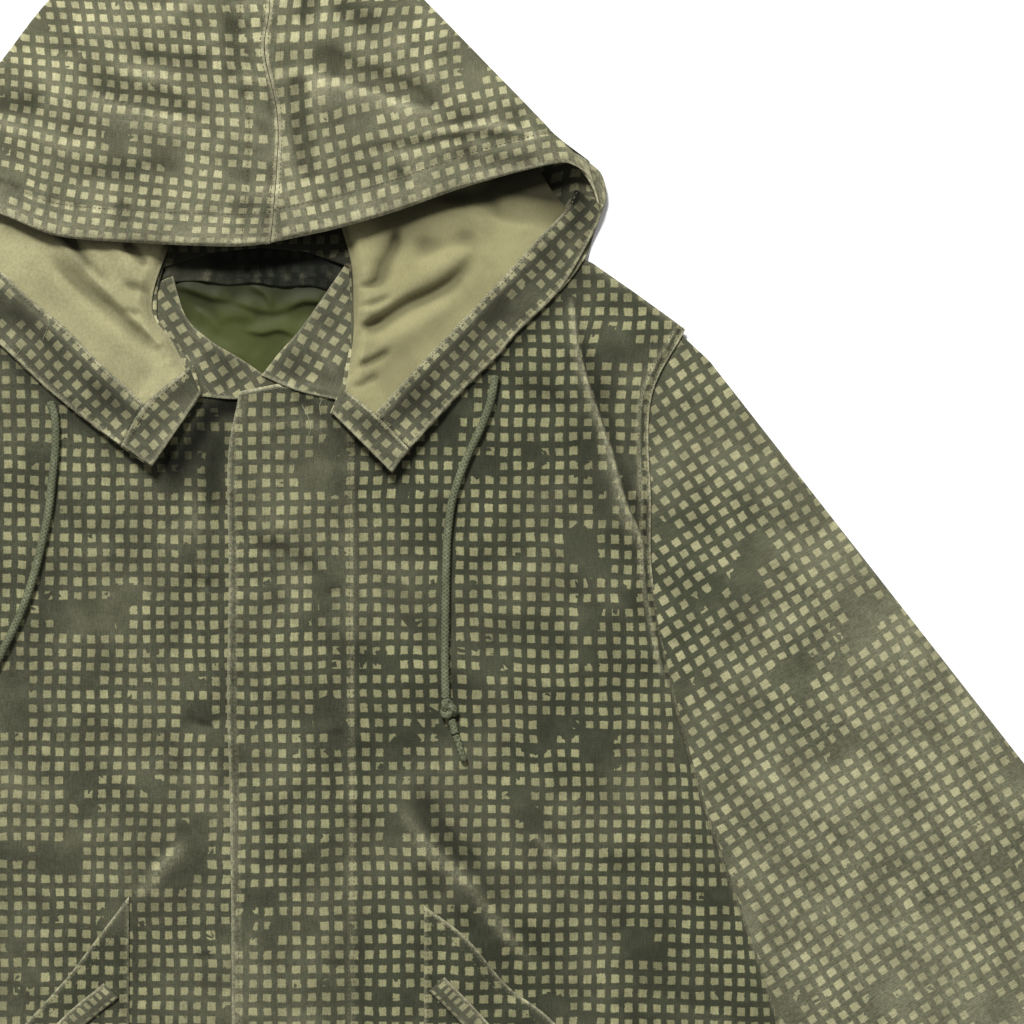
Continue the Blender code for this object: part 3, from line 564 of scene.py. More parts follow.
def widened(height):
    """The highest of each place and its neighbours."""
    pad = np.pad(height, 1, mode="edge")
    rows, columns = height.shape
    return np.max([pad[i : i + rows, j : j + columns] for i in range(3) for j in range(3)], axis=0)


def evened(height):
    """Each place moved half way to the mean of its neighbours."""
    pad = np.pad(height, 1, mode="edge")
    around = (pad[:-2, 1:-1] + pad[2:, 1:-1] + pad[1:-1, :-2] + pad[1:-1, 2:]) / 4
    return (height + around) / 2


def lay(plan, below, rounds=SMOOTHING):
    """The height of a piece's upper side over what is below it."""
    least = widened(ground(plan, below))
    height = least.copy()
    for _ in range(rounds):
        height = np.maximum(least, evened(height))
    for _ in range(LAST_SMOOTHING):
        height = evened(height)
    return height + CLOTH


print("relief and laying are ready")

# %% [markdown]
# ## The printed cloth
#
# The print is an old idea: even rows of small pale squares on dark olive, broken by blots where the
# squares are missing. It isn't a picture. A node group counts the cells of a grid over the
# cloth's own map, draws a square in each, roughens its edge, gives each square its own tone and
# lets a noise take some away. The map is in metres and follows the grain of each panel.

# %% Node tools
BLACK, WHITE = (0, 0, 0, 1), (1, 1, 1, 1)


class Value:
    """What a node gives, ready for sums. A colour or a place is summed part by part."""

    def __init__(self, tree, socket):
        self.tree, self.socket = tree, socket

    def sum(self, operation, a, b):
        wide = self.socket.type in ("VECTOR", "RGBA")
        kind = "ShaderNodeVectorMath" if wide else "ShaderNodeMath"
        return self.tree.add(kind, {0: a, 1: b}, operation=operation)

    def __add__(self, other):
        return self.sum("ADD", self, other)

    def __sub__(self, other):
        return self.sum("SUBTRACT", self, other)

    def __rsub__(self, other):
        return self.sum("SUBTRACT", other, self)

    def __mul__(self, other):
        return self.sum("MULTIPLY", self, other)

    def __truediv__(self, other):
        return self.sum("DIVIDE", self, other)

    __radd__, __rmul__ = __add__, __mul__


class Tree:
    """A short way to write node trees: inputs take numbers, colours or other nodes' values."""

    def __init__(self, nodes):
        self.nodes = nodes

    def put(self, socket, value):
        if isinstance(value, Value):
            self.nodes.links.new(value.socket, socket)
        else:
            socket.default_value = value

    def add(self, kind, inputs=(), output=0, **settings):
        """Adds a node and gives one of its outputs."""
        node = self.nodes.nodes.new(kind)
        for name, value in settings.items():
            setattr(node, name, value)
        for name, value in dict(inputs).items():
            self.put(node.inputs[name], value)
        return Value(self, node.outputs[output])

    def math(self, operation, a, b=0.0, c=0.0):
        return self.add("ShaderNodeMath", {0: a, 1: b, 2: c}, operation=operation)

    def vector(self, operation, a):
        return self.add("ShaderNodeVectorMath", {0: a}, operation=operation)

    def part(self, value, axis):
        return self.add("ShaderNodeSeparateXYZ", {0: value}, axis)

    def mix(self, factor, a, b):
        return self.add("ShaderNodeMix", {0: factor, 6: a, 7: b}, 2, data_type="RGBA")

    def step(self, value, low, high):
        """0 below low and 1 above high, or the other way if low is the larger."""
        limits = {"Value": value, "From Min": low, "From Max": high, "To Min": 0.0, "To Max": 1.0}
        return self.add("ShaderNodeMapRange", limits, "Result", interpolation_type="SMOOTHSTEP")

    def noise(
        self, place, scale, detail, rough=0.5, stretch=(1, 1, 1), shift=(0, 0, 0), output="Fac"
    ):
        mapped = self.add("ShaderNodeMapping", {"Vector": place, "Location": shift, "Scale": stretch})
        amounts = {"Vector": mapped, "Scale": scale, "Detail": detail, "Roughness": rough}
        return self.add("ShaderNodeTexNoise", amounts, output, noise_dimensions="2D")

    def give(self, value):
        """Ends a group with its result."""
        self.put(self.nodes.nodes.new("NodeGroupOutput").inputs[0], value)
        return self.nodes


def new_group(name, inputs, output, kind="Shader"):
    """A node group, with what it is given. Each input is a kind of value, or a number it starts at."""
    group = bpy.data.node_groups.new(name, kind + "NodeTree")
    for label, value in inputs.items():
        what = value if isinstance(value, str) else "Color" if isinstance(value, tuple) else "Float"
        socket = group.interface.new_socket(label, in_out="INPUT", socket_type="NodeSocket" + what)
        if what != value:
            socket.default_value = value
    group.interface.new_socket(output, in_out="OUTPUT", socket_type="NodeSocket" + output)
    tree = Tree(group)
    given = group.nodes.new("NodeGroupInput").outputs
    return tree, {label: Value(tree, given[label]) for label in inputs}


# %% Print, weave and wear
PITCH = (0.00880, 0.00902)  # metres from square to square, across and along the grain
SQUARE = 0.268  # half a square's side, as a part of the pitch
HALF = (0.5, 0.5, 0)
BLOT = {"scale": 24, "detail": 2.5, "rough": 0.6, "shift": (3.1, 1.7, 0)}


def grid_print():
    """The squares in two tones, and the blots."""
    inputs = {"Map": "Vector", "Ground": BLACK, "Squares": WHITE, "Blots": 0.5}
    tree, given = new_group("grid print", inputs, "Color")
    chart, blots = given["Map"], given["Blots"]
    # the rows wander a little, and every edge is slightly rough
    wander = (tree.noise(chart, 50, 1.0, output="Color") - (0.5, 0.5, 0.5)) * (0.24, 0.24, 0)
    rough = (tree.noise(chart, 640, 1.0, output="Color") - (0.5, 0.5, 0.5)) * (0.11, 0.11, 0)
    cells = chart / (*PITCH, 1) + wander + rough
    number = tree.vector("FLOOR", cells)
    off = tree.vector("ABSOLUTE", tree.vector("FRACTION", cells) - HALF)
    corner = tree.math("SMOOTH_MAX", tree.part(off, 0), tree.part(off, 1), 0.08)
    chance = tree.add("ShaderNodeTexWhiteNoise", {"Vector": number}, "Value", noise_dimensions="2D")
    square = tree.step(corner - (SQUARE - 0.02 + chance * 0.045), 0.045, -0.035)
    # a cell loses its square where a broad noise is high, and squares beside a blot are cut
    by_cell = tree.noise((number + HALF) * (*PITCH, 1), **BLOT)
    by_place = tree.noise(chart, **BLOT)
    shards = {"Vector": chart, "Scale": 190}
    jag = tree.part(tree.add("ShaderNodeTexVoronoi", shards, "Color", voronoi_dimensions="2D"), 0)
    cut = tree.step(by_place + (jag - 0.62) * 0.16 - blots, -0.004, 0.004)
    blot = tree.math("MAXIMUM", cut, tree.math("GREATER_THAN", by_cell + (chance - 0.5) * 0.05, blots))
    strength = (0.74 + chance * 0.26) * (0.62 + tree.noise(chart, 34, 2.0) * 0.7)
    return tree.give(tree.mix(square * (1.0 - blot) * strength, given["Ground"], given["Squares"]))


def weave():
    """Threads: a streaky tone and height, along the grain and across it."""
    tree, given = new_group("weave", {"Map": "Vector", "Threads": 1050.0}, "Float")
    chart, threads = given["Map"], given["Threads"]
    warp = tree.noise(chart, threads, 2.0, 0.6, stretch=(1.2, 0.12, 1))
    weft = tree.noise(chart, threads, 2.0, 0.6, stretch=(0.3, 1, 1), shift=(5, 2, 0))
    fluff = tree.noise(chart, threads, 1.0, 0.6, stretch=(1.1, 1.1, 1), shift=(2, 7, 0))
    return tree.give(warp * 0.45 + weft * 0.2 + fluff * 0.35)


def fading():
    """Washing and rubbing: uneven tone and pale worn lines, and painted shade in hollows and shaded places.
    """
    inputs = {"Map": "Vector", "Color": BLACK, "Pale": BLACK, "Worn": 0.0, "Shaded": 0.0}
    inputs.update({"Fade": 0.0, "Threads": 0.5, "Contrast": 1.5, "Dirt": 1.0})
    tree, given = new_group("fading", inputs, "Color")
    chart = given["Map"]
    patchy = tree.step(tree.noise(chart, 420, 3.0, 0.7), 0.3, 0.72)
    cloud = tree.noise(chart, 9, 3.0, 0.6, shift=(1, 8, 0))
    faded = tree.math("MAXIMUM", given["Fade"] + (cloud - 0.5) * 0.35)
    pale = tree.math("MINIMUM", given["Worn"] * (0.35 + patchy * 0.65) + faded, 1.0)
    soil = tree.noise(chart, 38, 3.0, 0.6, stretch=(0.8, 1, 1), shift=(4, 4, 0))
    dirty = 1.0 + (tree.step(soil, 0.32, 0.68) * 0.36 - 0.24) * given["Dirt"]
    # painted shade: the second mark darkens the colour by up to nine tenths where shade falls
    tone = (1.0 + (given["Threads"] - 0.5) * given["Contrast"]) * dirty * (1.0 - given["Shaded"] * 0.9)
    grey = tree.add("ShaderNodeCombineXYZ", {axis: tone for axis in "XYZ"})
    return tree.give(tree.mix(pale, given["Color"], given["Pale"]) * grey)


GROUPS = {"print": grid_print(), "weave": weave(), "fading": fading()}
print("node groups:", ", ".join(group.name for group in GROUPS.values()))

# %% [markdown]
# ## Ten finishes
#
# The same groups serve every cloth. Five are printed: the body is the base, the sleeves and the hood
# were washed and rubbed more, so theirs are paler, and the back neck's print is made dark as painted
# shade, for the deep shade it lies in. The hood lining is plain tan cotton, the body lining is thin
# green nylon with a soft shine, and the cord, the loose fibres and the thread are plain too. A map
# called "grain", a value called "worn" and a value of painted shade come with each piece.

# %% Materials
SPECULAR = 0.12
SHEEN = 0.02  # of the printed cloth, which is slightly furry
SHEEN_ROUGHNESS = 0.5
WORN_PRINT = (178, 174, 142)
# printed cloths: fade, blots, ground, squares
PRINTED = {
    "body": (0.02, 0.635, (57, 59, 45), (137, 135, 100)),
    "sleeve": (0.05, 0.655, (68, 70, 54), (150, 147, 112)),
    "hood": (0.04, 0.66, (86, 86, 67), (166, 162, 125)),
    "trim": (0.1, 0.67, (60, 61, 48), (142, 139, 105)),
    # painted shade: the back neck's print is made dark for the deep shade inside the hood
    "neck": (0.0, 0.6, (19, 21, 15), (31, 33, 25)),
}
# plain ones: name, colour, worn colour, roughness, threads a metre, their relief, fade, contrast, dirt
PLAIN = {
    "lining": ("tan lining", (136, 131, 94), (170, 165, 130), 0.9, 1900.0, 0.0004, 0.05, 0.7, 0.4),
    "nylon": ("green nylon", (64, 69, 34), (104, 110, 66), 0.55, 1900.0, 0.0001, 0.0, 0.5, 0.5),
    "cord": ("braided cord", (80, 84, 62), (140, 142, 116), 0.85, 1100.0, 0.0003, 0.0, 1.5, 1.0),
    "fray": ("loose fibres", (150, 149, 124), (186, 184, 160), 0.9, 1050.0, 0.0004, 0.0, 1.5, 1.0),
    "thread": ("sewing thread", (92, 90, 68), (150, 146, 116), 0.8, 1500.0, 0.0001, 0.1, 1.5, 1.0),
}


def linear(tones):
    """A colour seen on a screen, 0 to 255, as light."""
    tones = np.array(tones) / 255
    return (*np.where(tones > 0.04045, ((tones + 0.055) / 1.055) ** 2.4, tones / 12.92), 1.0)


def cloth(
    name, color, worn_color, roughness, threads, depth, fade, contrast, dirt,
    squares=None, blots=0.0,
):
    material = bpy.data.materials.new(name)
    material.use_nodes = True
    tree = Tree(material.node_tree)
    grain = tree.add("ShaderNodeUVMap", uv_map="grain")
    # worn is real wear, and the second mark is painted shade
    marks = {
        mark.title(): tree.add("ShaderNodeAttribute", output="Fac", attribute_name=mark)
        for mark in ("worn", "shaded")
    }
    woven = tree.add("ShaderNodeGroup", {"Map": grain, "Threads": threads}, node_tree=GROUPS["weave"])
    color = linear(color)
    if squares:
        inputs = {"Map": grain, "Ground": color, "Squares": linear(squares), "Blots": blots}
        color = tree.add("ShaderNodeGroup", inputs, node_tree=GROUPS["print"])
    inputs = {"Map": grain, "Color": color, "Pale": linear(worn_color), "Fade": fade, **marks}
    inputs.update({"Threads": woven, "Contrast": contrast, "Dirt": dirt})
    looks = {
        "Base Color": tree.add("ShaderNodeGroup", inputs, node_tree=GROUPS["fading"]),
        "Normal": tree.add("ShaderNodeBump", {"Height": woven, "Strength": 1.0, "Distance": depth}),
        "Roughness": roughness,
        "Specular IOR Level": SPECULAR,
        "Sheen Weight": SHEEN if squares else 0.0,
        "Sheen Roughness": SHEEN_ROUGHNESS,
    }
    shader = material.node_tree.nodes["Principled BSDF"]
    for label, value in looks.items():
        tree.put(shader.inputs[label], value)
    return material


FINISH = {}
for name, (fade, blots, base, squares) in PRINTED.items():
    looks = (base, WORN_PRINT, 0.92, 1050.0, 0.0005, fade, 1.5, 1.0, squares, blots)
    FINISH[name] = cloth(f"{name} print", *looks)
for name, looks in PLAIN.items():
    FINISH[name] = cloth(*looks)
print("finishes:", ", ".join(FINISH))

# %% [markdown]
# ## From a grid to a shell
#
# A grid is one face thick. Solidify gives it a wall downwards, so that the side with the folds stays
# where it was put. The map, the marks of wear and the painted shade of hollows and shaded places are
# written on the mesh before that. Each shell replaces its solid, rides on the coat's one body and
# prints the size that it was cut to.

# %% Shells
RIDGE_WEAR = 0.22  # how pale a ridge of 1 mm gets
RIDGE_LEAST = 0.25  # mm, below which a ridge isn't rubbed
HOLLOW_SHADE_DEPTH = 2.4  # how deep a hollow would be for its painted shade to reach full strength
BROAD_HOLLOW_SHADE = 0.3  # how much of that a wide hollow counts
# the most painted shade that hollows get
MOST_HOLLOW_SHADE = 0.5
CLOSE_ROUNDS = 36  # rounds of evening that find close ridges and hollows
BROAD_REACH = 12  # cells each way that find the wide ones
FLOOR_GAP = 0.1
MERGE = 1e-6


def write_mesh(name, points, cells, grain, marks, finish):
    """A mesh in metres at the origin, with its map and its marks: wear, and painted shade where given."""
    mesh = bpy.data.meshes.new(name)
    placed = np.column_stack([points[:, :2] - CENTRE, points[:, 2]]) * MM
    mesh.from_pydata(placed.tolist(), [], cells)
    loops = np.empty(len(mesh.loops), int)
    mesh.loops.foreach_get("vertex_index", loops)
    uv = mesh.uv_layers.new(name="grain")
    uv.data.foreach_set("uv", (grain.reshape(-1, 2)[loops] * MM).ravel())
    for label, values in marks.items():
        attribute = mesh.attributes.new(label, "FLOAT", "POINT")
        attribute.data.foreach_set("value", np.clip(values, 0, 1).ravel().astype(np.float32))
    mesh.shade_smooth()
    mesh.materials.append(FINISH[finish])
    return add_object(name, mesh)


def face_outwards(mesh, merge=False):
    """Makes the faces of a closed piece agree, with the highest one looking up."""
    bm = bmesh.new()
    bm.from_mesh(mesh)
    if merge:
        bmesh.ops.remove_doubles(bm, verts=bm.verts[:], dist=MERGE)
    bmesh.ops.recalc_face_normals(bm, faces=bm.faces[:])
    if max(bm.faces, key=lambda face: face.calc_center_median().z).normal.z < 0:
        bmesh.ops.reverse_faces(bm, faces=bm.faces[:])
    bm.to_mesh(mesh)
    bm.free()


def rises(height):
    """How far each place stands above the mean of what is close round it."""
    mean = height
    for _ in range(CLOSE_ROUNDS):
        mean = evened(mean)
    return height - mean


def broad_rises(height):
    """The same, over a wider square round each place."""
    total, wide = np.pad(height, BROAD_REACH, mode="edge"), 2 * BROAD_REACH + 1
    for axis in (0, 1):
        run = np.cumsum(np.insert(total, 0, 0, axis=axis), axis=axis)
        size = run.shape[axis]
        total = (run.take(range(wide, size), axis) - run.take(range(size - wide), axis)) / wide
    return height - total


def cut_size(points):
    """The width, length and area of a piece laid out flat, in metres."""
    across, down = np.diff(points, axis=1), np.diff(points, axis=0)
    wide = np.linalg.norm(across, axis=-1).sum(1).max()
    long = np.linalg.norm(down, axis=-1).sum(0).max()
    area = np.linalg.norm(np.cross(across[:-1], down[:, :-1]), axis=-1).sum()
    return wide * MM, long * MM, area * MM * MM


def shell(
    node, top, grain, worn, finish, rests_on,
    slot="print", wall=CLOTH, closed=False, relief=None, shade=0.0,
):
    """Turns a piece's upper side into a thin shell, or its whole surface if it is folded or a tube."""
    if not closed:
        top[..., 2] = np.maximum(top[..., 2], wall + FLOOR_GAP)
    points, cells = grid_mesh(top)
    corner = points[cells[:, 0]]
    if np.cross(points[cells[:, 1]] - corner, points[cells[:, 3]] - corner)[:, 2].sum() < 0:
        cells = cells[:, ::-1]
    relief = top[..., 2] if relief is None else relief
    stands = rises(relief)
    worn = worn + (0 if slot == "nylon" else RIDGE_WEAR) * np.clip(stands - RIDGE_LEAST, 0, 1)
    # painted shade: hollows, and the places given as shade, are darkened in the colour
    hollow = np.clip(-stands, 0, None) + BROAD_HOLLOW_SHADE * np.clip(-broad_rises(relief), 0, None)
    marks = {"worn": worn, "shaded": np.clip(hollow / HOLLOW_SHADE_DEPTH, 0, MOST_HOLLOW_SHADE) + shade}
    piece = write_mesh(f"{node}_cloth", points, cells.tolist(), grain, marks, finish)
    thickness = piece.modifiers.new("Wall", "SOLIDIFY")
    thickness.thickness = wall * MM
    thickness.offset = -1.0
    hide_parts(node)
    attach(piece, "root")
    wide, long, area = cut_size(top)
    min(area, wide * long)
    if not closed:
        remember(node, top)
    print(f"{node}: {len(cells)} cells, cut {wide / MM:.0f} by {long / MM:.0f} mm")
    return piece


def panel(node, side, plan, below, relief, worn, finish, rests_on, grain=None, drop=None, **more):
    """Lays a flat piece on what is below it. Drop is how far it sinks where it rolls over."""
    place = turned(plan, side)
    height = lay(place, below) + relief
    if drop is not None:
        more["relief"], height = height, height - drop
    grain = plan if grain is None else grain
    shell(node, np.dstack([place, height]), grain, worn, finish, rests_on, **more)


# %% [markdown]
# ## Sleeves
#
# A set-in sleeve is a tube. Laid flat it has a top layer, an underneath and two folds. Its
# head goes under the body at the armhole. Rings round the flat tube, closed on themselves, give both
# layers in one piece. The grain runs along the outer fold, so the rows of squares slant.

# %% Sleeves
SLEEVE = 620.0
CUFF = 190.0
SLEEVE_SLOPE = math.radians(-52.0)
SLEEVE_SHOULDER = 0.04
SLEEVE_GRAIN = -57.0  # the way of the print's rows on the sleeve, in degrees
SLEEVE_ROUNDS = {"left": 190, "right": 80}  # the right sleeve is out of the picture
SLEEVE_TOP, SLEEVE_FOLD, SLEEVE_LOW = 80, 9, 40  # points round the tube
CUFF_HEM = 25.0
# places are parts of the sleeve's length and width, as is each crease's width
SLEEVE_CREASES = [
    ([(0.08, 0.10), (0.2, 0.22), (0.34, 0.3)], 0.045, 0.8),
    ([(0.2, 0.75), (0.34, 0.6), (0.5, 0.55)], 0.05, 1.0),
    ([(0.45, 0.2), (0.6, 0.32), (0.74, 0.3)], 0.05, 0.9),
    ([(0.6, 0.8), (0.7, 0.62), (0.84, 0.55)], 0.05, 0.9),
]


def sleeve_flat(s, c):
    """Places on the flat sleeve, s down its length and c across from the outer fold."""
    along = np.array([math.cos(SLEEVE_SLOPE), math.sin(SLEEVE_SLOPE)])
    across = np.array([math.sin(SLEEVE_SLOPE), -math.cos(SLEEVE_SLOPE)])
    cuff_outer = np.array(SIDE[0]) + SLEEVE * along
    cuff_inner = cuff_outer + CUFF * across
    shoulder = np.array(SIDE[0]) + SLEEVE_SHOULDER * SLEEVE * along
    s = np.asarray(s, float)
    hidden = cornered_line([SLEEVE_HEAD[0], shoulder])(s / SLEEVE_SHOULDER)
    shown = cornered_line([shoulder, cuff_outer])((s - SLEEVE_SHOULDER) / (1 - SLEEVE_SHOULDER))
    outer = np.where((s < SLEEVE_SHOULDER)[..., None], hidden, shown)
    inner = smooth_line(SLEEVE_INNER + [tuple(cuff_inner)])(s)
    head, cuff = smooth_line(SLEEVE_HEAD), cornered_line([cuff_outer, cuff_inner])
    s1, c1 = s[..., None], np.asarray(c, float)[..., None]
    bow_head = head(c) - (1 - c1) * head(0.0) - c1 * head(1.0)
    bow_cuff = cuff(c) - (1 - c1) * cuff(0.0) - c1 * cuff(1.0)
    return (1 - c1) * outer + c1 * inner + (1 - s1) * bow_head + s1 * bow_cuff


def sleeve_rings(s):
    """Round the tube: over the top, the inner fold, back below and up the outer fold."""
    tall = np.interp(s, *np.array(SLEEVE_HEIGHTS).T)
    turn = 0.5 * tall / distance(sleeve_flat(s, np.ones_like(s)), sleeve_flat(s, np.zeros_like(s)))
    folds = np.linspace(0, math.pi, SLEEVE_FOLD)[1:-1]
    flat = 1 - 2 * turn
    rings = [(turn + step * flat, tall) for step in np.linspace(0, 1, SLEEVE_TOP)]
    rings += [(1 - turn + turn * math.sin(a), 0.5 * tall * (1 + math.cos(a))) for a in folds]
    rings += [(1 - turn - step * flat, 0 * tall) for step in np.linspace(0, 1, SLEEVE_LOW)]
    rings += [(turn - turn * math.sin(a), 0.5 * tall * (1 + math.cos(a))) for a in folds[::-1]]
    return [np.stack(part, axis=1) for part in zip(*rings, rings[0])]


def sleeve(side):
    s = even(SLEEVE_ROUNDS[side])
    across, height = sleeve_rings(s)
    down = np.repeat(s[:, None], across.shape[1], axis=1)
    plan = sleeve_flat(down, across)
    seed = 1 if side == "left" else 2
    above_cuff = (1 - down) * SLEEVE
    above_hem = above_cuff - CUFF_HEM
    swell = 0.55 * hills(plan, 70, seed) + 0.3 * hills(plan, 26, seed + 4)
    swell = swell + creases(np.stack([down, across], axis=-1), SLEEVE_CREASES)
    round_cuff = np.stack([across * CUFF, 0 * across], axis=-1)
    swell = swell + 0.3 * hills(round_cuff, 8, seed) * bell(above_hem, 8) - 0.4 * bell(above_hem, 1.8)
    swell = swell * np.clip(np.sin(math.pi * np.clip(across, 0, 1)), 0, 1) ** 0.5 * ease(down, 0, 0.1)
    upper = np.zeros(across.shape[1])
    upper[:SLEEVE_TOP], upper[-1] = 1, 1
    points = np.dstack([turned(plan, side), height + upper * swell])
    grain = tilted(plan + 1.6 * drift(plan, 90, 6), SLEEVE_GRAIN)
    worn = 0.18 * ease(down, 0.05, 0.45) + 0.7 * bell(above_cuff, 3) + 0.25 * bell(above_hem, 2.5)
    looks = {"closed": True, "relief": 0 * height}
    piece = shell(f"sleeve_{side}", points, grain, worn, "sleeve", ["floor"], **looks)
    face_outwards(piece.data, merge=True)
    remember(f"sleeve_{side}", points[:, :SLEEVE_TOP])


for side in SIDES:
    sleeve(side)

# %% [markdown]
# ## The back and its linings
#
# The back is one wide panel. Its lower edge drops into the two tails that give this coat its name,
# with a slit between them. It shows only past the front hem and from underneath. In the neck
# opening the photo looks past it, onto the green nylon lining and the printed facing of the back neck.

# %% Tables of the back
# each crease: its line, its width on the left of the line's way, its height, its width on the right
BACK_HEM = 20.0
BACK_FINE = (4, 8)  # columns and rows of cells for each step of its tables
BACK_CREASES = [
    ([(30, -960), (50, -900), (60, -860)], 10, 1.6),
    ([(-110, -950), (-100, -900), (-104, -860)], 10, 1.4),
    ([(150, -930), (170, -890), (200, -862)], 9, -1.2),
    ([(-210, -910), (-190, -880), (-170, -860)], 9, 1.6),
    ([(-60, -880), (-20, -800), (-10, -700)], 14, 1.2),
    ([(180, -880), (150, -800), (160, -720)], 16, 1.2),
]
NYLON_TOP, NYLON_BOTTOM = [(-68, 76), (68, 76)], [(-56, -32), (56, -32)]
NYLON_LIFT = 1.4
NYLON_CREASES = [
    ([(-56, 66), (-42, 62), (-30, 58), (-18, 57)], 6, 1.6, 1.3),
    ([(-18, 57), (-6, 52), (8, 50), (20, 54)], 7, 1.2, 1.6),
    ([(-12, 38), (0, 36), (12, 38), (24, 33)], 8, 1.7, 1.3),
    ([(14, 50), (24, 55), (32, 56), (44, 54)], 6, 1.8, 1.2),
    ([(-52, 40), (-36, 29), (-22, 20), (-10, 16)], 8, 1.6, 1.6),
    ([(-8, 66), (3, 60), (7, 50)], 3, 1.0, 1.4),
    ([(-30, 44), (-16, 47), (-2, 45)], 8, 1.0, 3),
    ([(36, 46), (26, 34), (16, 20)], 2, 1.0, 6),
    ([(-44, 52), (-34, 46), (-26, 36)], 2, 0.9, 5),
    ([(46, 64), (50, 56), (52, 48)], 2, 0.9, 5),
]
BACK_NECK_TOP = [(-62, 88), (-30, 93), (0, 94.5), (30, 93), (62, 88)]
BACK_NECK_BOTTOM = [
    (-60, 68), (-40, 69), (-22, 66.5), (-4, 67.5), (14, 65), (30, 66), (44, 63), (60, 64),
]


# %% Back
def tail_hem(x):
    """How low the tails reach, from the centre out."""
    return FRONT_HEM - TAIL * np.interp(x, *np.array(TAIL_EDGE, float).T)


def back():
    columns = finer([-u for u in BACK_COLUMNS[:0:-1]] + BACK_COLUMNS, BACK_FINE[0])
    rows, out = finer(BACK_ROWS, BACK_FINE[1])[:, None], np.abs(columns)
    edge = falling_line([(x - BACK_INSET, y) for x, y in SIDE])(rows[:, 0])
    top = np.interp(out * BACK_TOP[-1][0], *np.array(BACK_TOP, float).T)
    low = tail_hem(out * TAIL_EDGE[-1][0]) + VENT * np.clip(1 - out / BACK_COLUMNS[1], 0, 1)
    plan = np.stack([columns[None] * edge[:, :1], top[None] + (low - top)[None] * rows], axis=-1)
    above_cut = (1 - rows) * (top - low)[None]
    above_hem = above_cut - BACK_HEM
    inner = ease(1 - out, 0, 0.05)[None] * ease(1 - rows, 0, 0.03)
    relief = seam(plan, plan[-1], 0, 1, 0.5, 20, 11, 3) - 0.4 * bell(above_hem, 2)
    relief = relief + inner * (creases(plan, BACK_CREASES) + 0.6 + 0.6 * hills(plan, 60, 9))
    worn = 0.9 * bell(above_cut, 3) + 0.2 * bell(above_hem, 3)
    below = ["sleeve_left", "sleeve_right"]
    grain = plan + 2.0 * drift(plan, 120, 8)
    relief = relief * ease(rows, 0.7, 0.85)  # only its lower part shows
    rests_on = [f"{name}_cloth" for name in below]
    panel("back", "left", plan, below, relief, worn, "body", rests_on, grain)


def back_lining():
    top, bottom = cornered_line(NYLON_TOP), cornered_line(NYLON_BOTTOM)
    rows = even(96)[:, None]
    plan = patch(top, bottom, *joined_ends(top, bottom), even(120), rows[:, 0])
    billow = 1.35 * creases(plan, NYLON_CREASES) + 0.5 * hills(plan, 18, 3) + 0.12 * hills(plan, 6, 5)
    relief = np.maximum(NYLON_LIFT + billow, 0.1) * ease(rows, 0, 0.05) * ease(1 - rows, 0.05, 0.3)
    # painted shade: the nylon darkens towards its top, under the back neck
    looks = {"slot": "nylon", "wall": 0.6, "shade": 0.75 * (1 - ease(rows, 0.06, 0.34))}
    panel("back_lining", "left", plan, ["back"], relief, 0.0, "nylon", ["back_cloth"], **looks)


def back_neck_facing():
    top, bottom = smooth_line(BACK_NECK_TOP), smooth_line(BACK_NECK_BOTTOM)
    plan = patch(top, bottom, *joined_ends(top, bottom), even(80), even(20))
    relief = seam(plan, bottom(even(30)) + (0, 3), 0.3, 1.6, 1.1, 9, 9, 4)
    below = ["back", "back_lining"]
    # its finish is the back neck print, made dark as painted shade
    panel("back_neck_facing", "left", plan, below, relief, 0.0, "neck", ["back_cloth"])


back()
back_lining()
back_neck_facing()

# %% [markdown]
# ## Fronts and fly
#
# The left front laps over the right one. Its edge is doubled to hide the buttons, and years of use
# have rubbed that edge nearly white. The body is a little too wide for its side seam, so at the
# armhole it breaks into one long fold, and shallow diagonal creases run from the pockets.

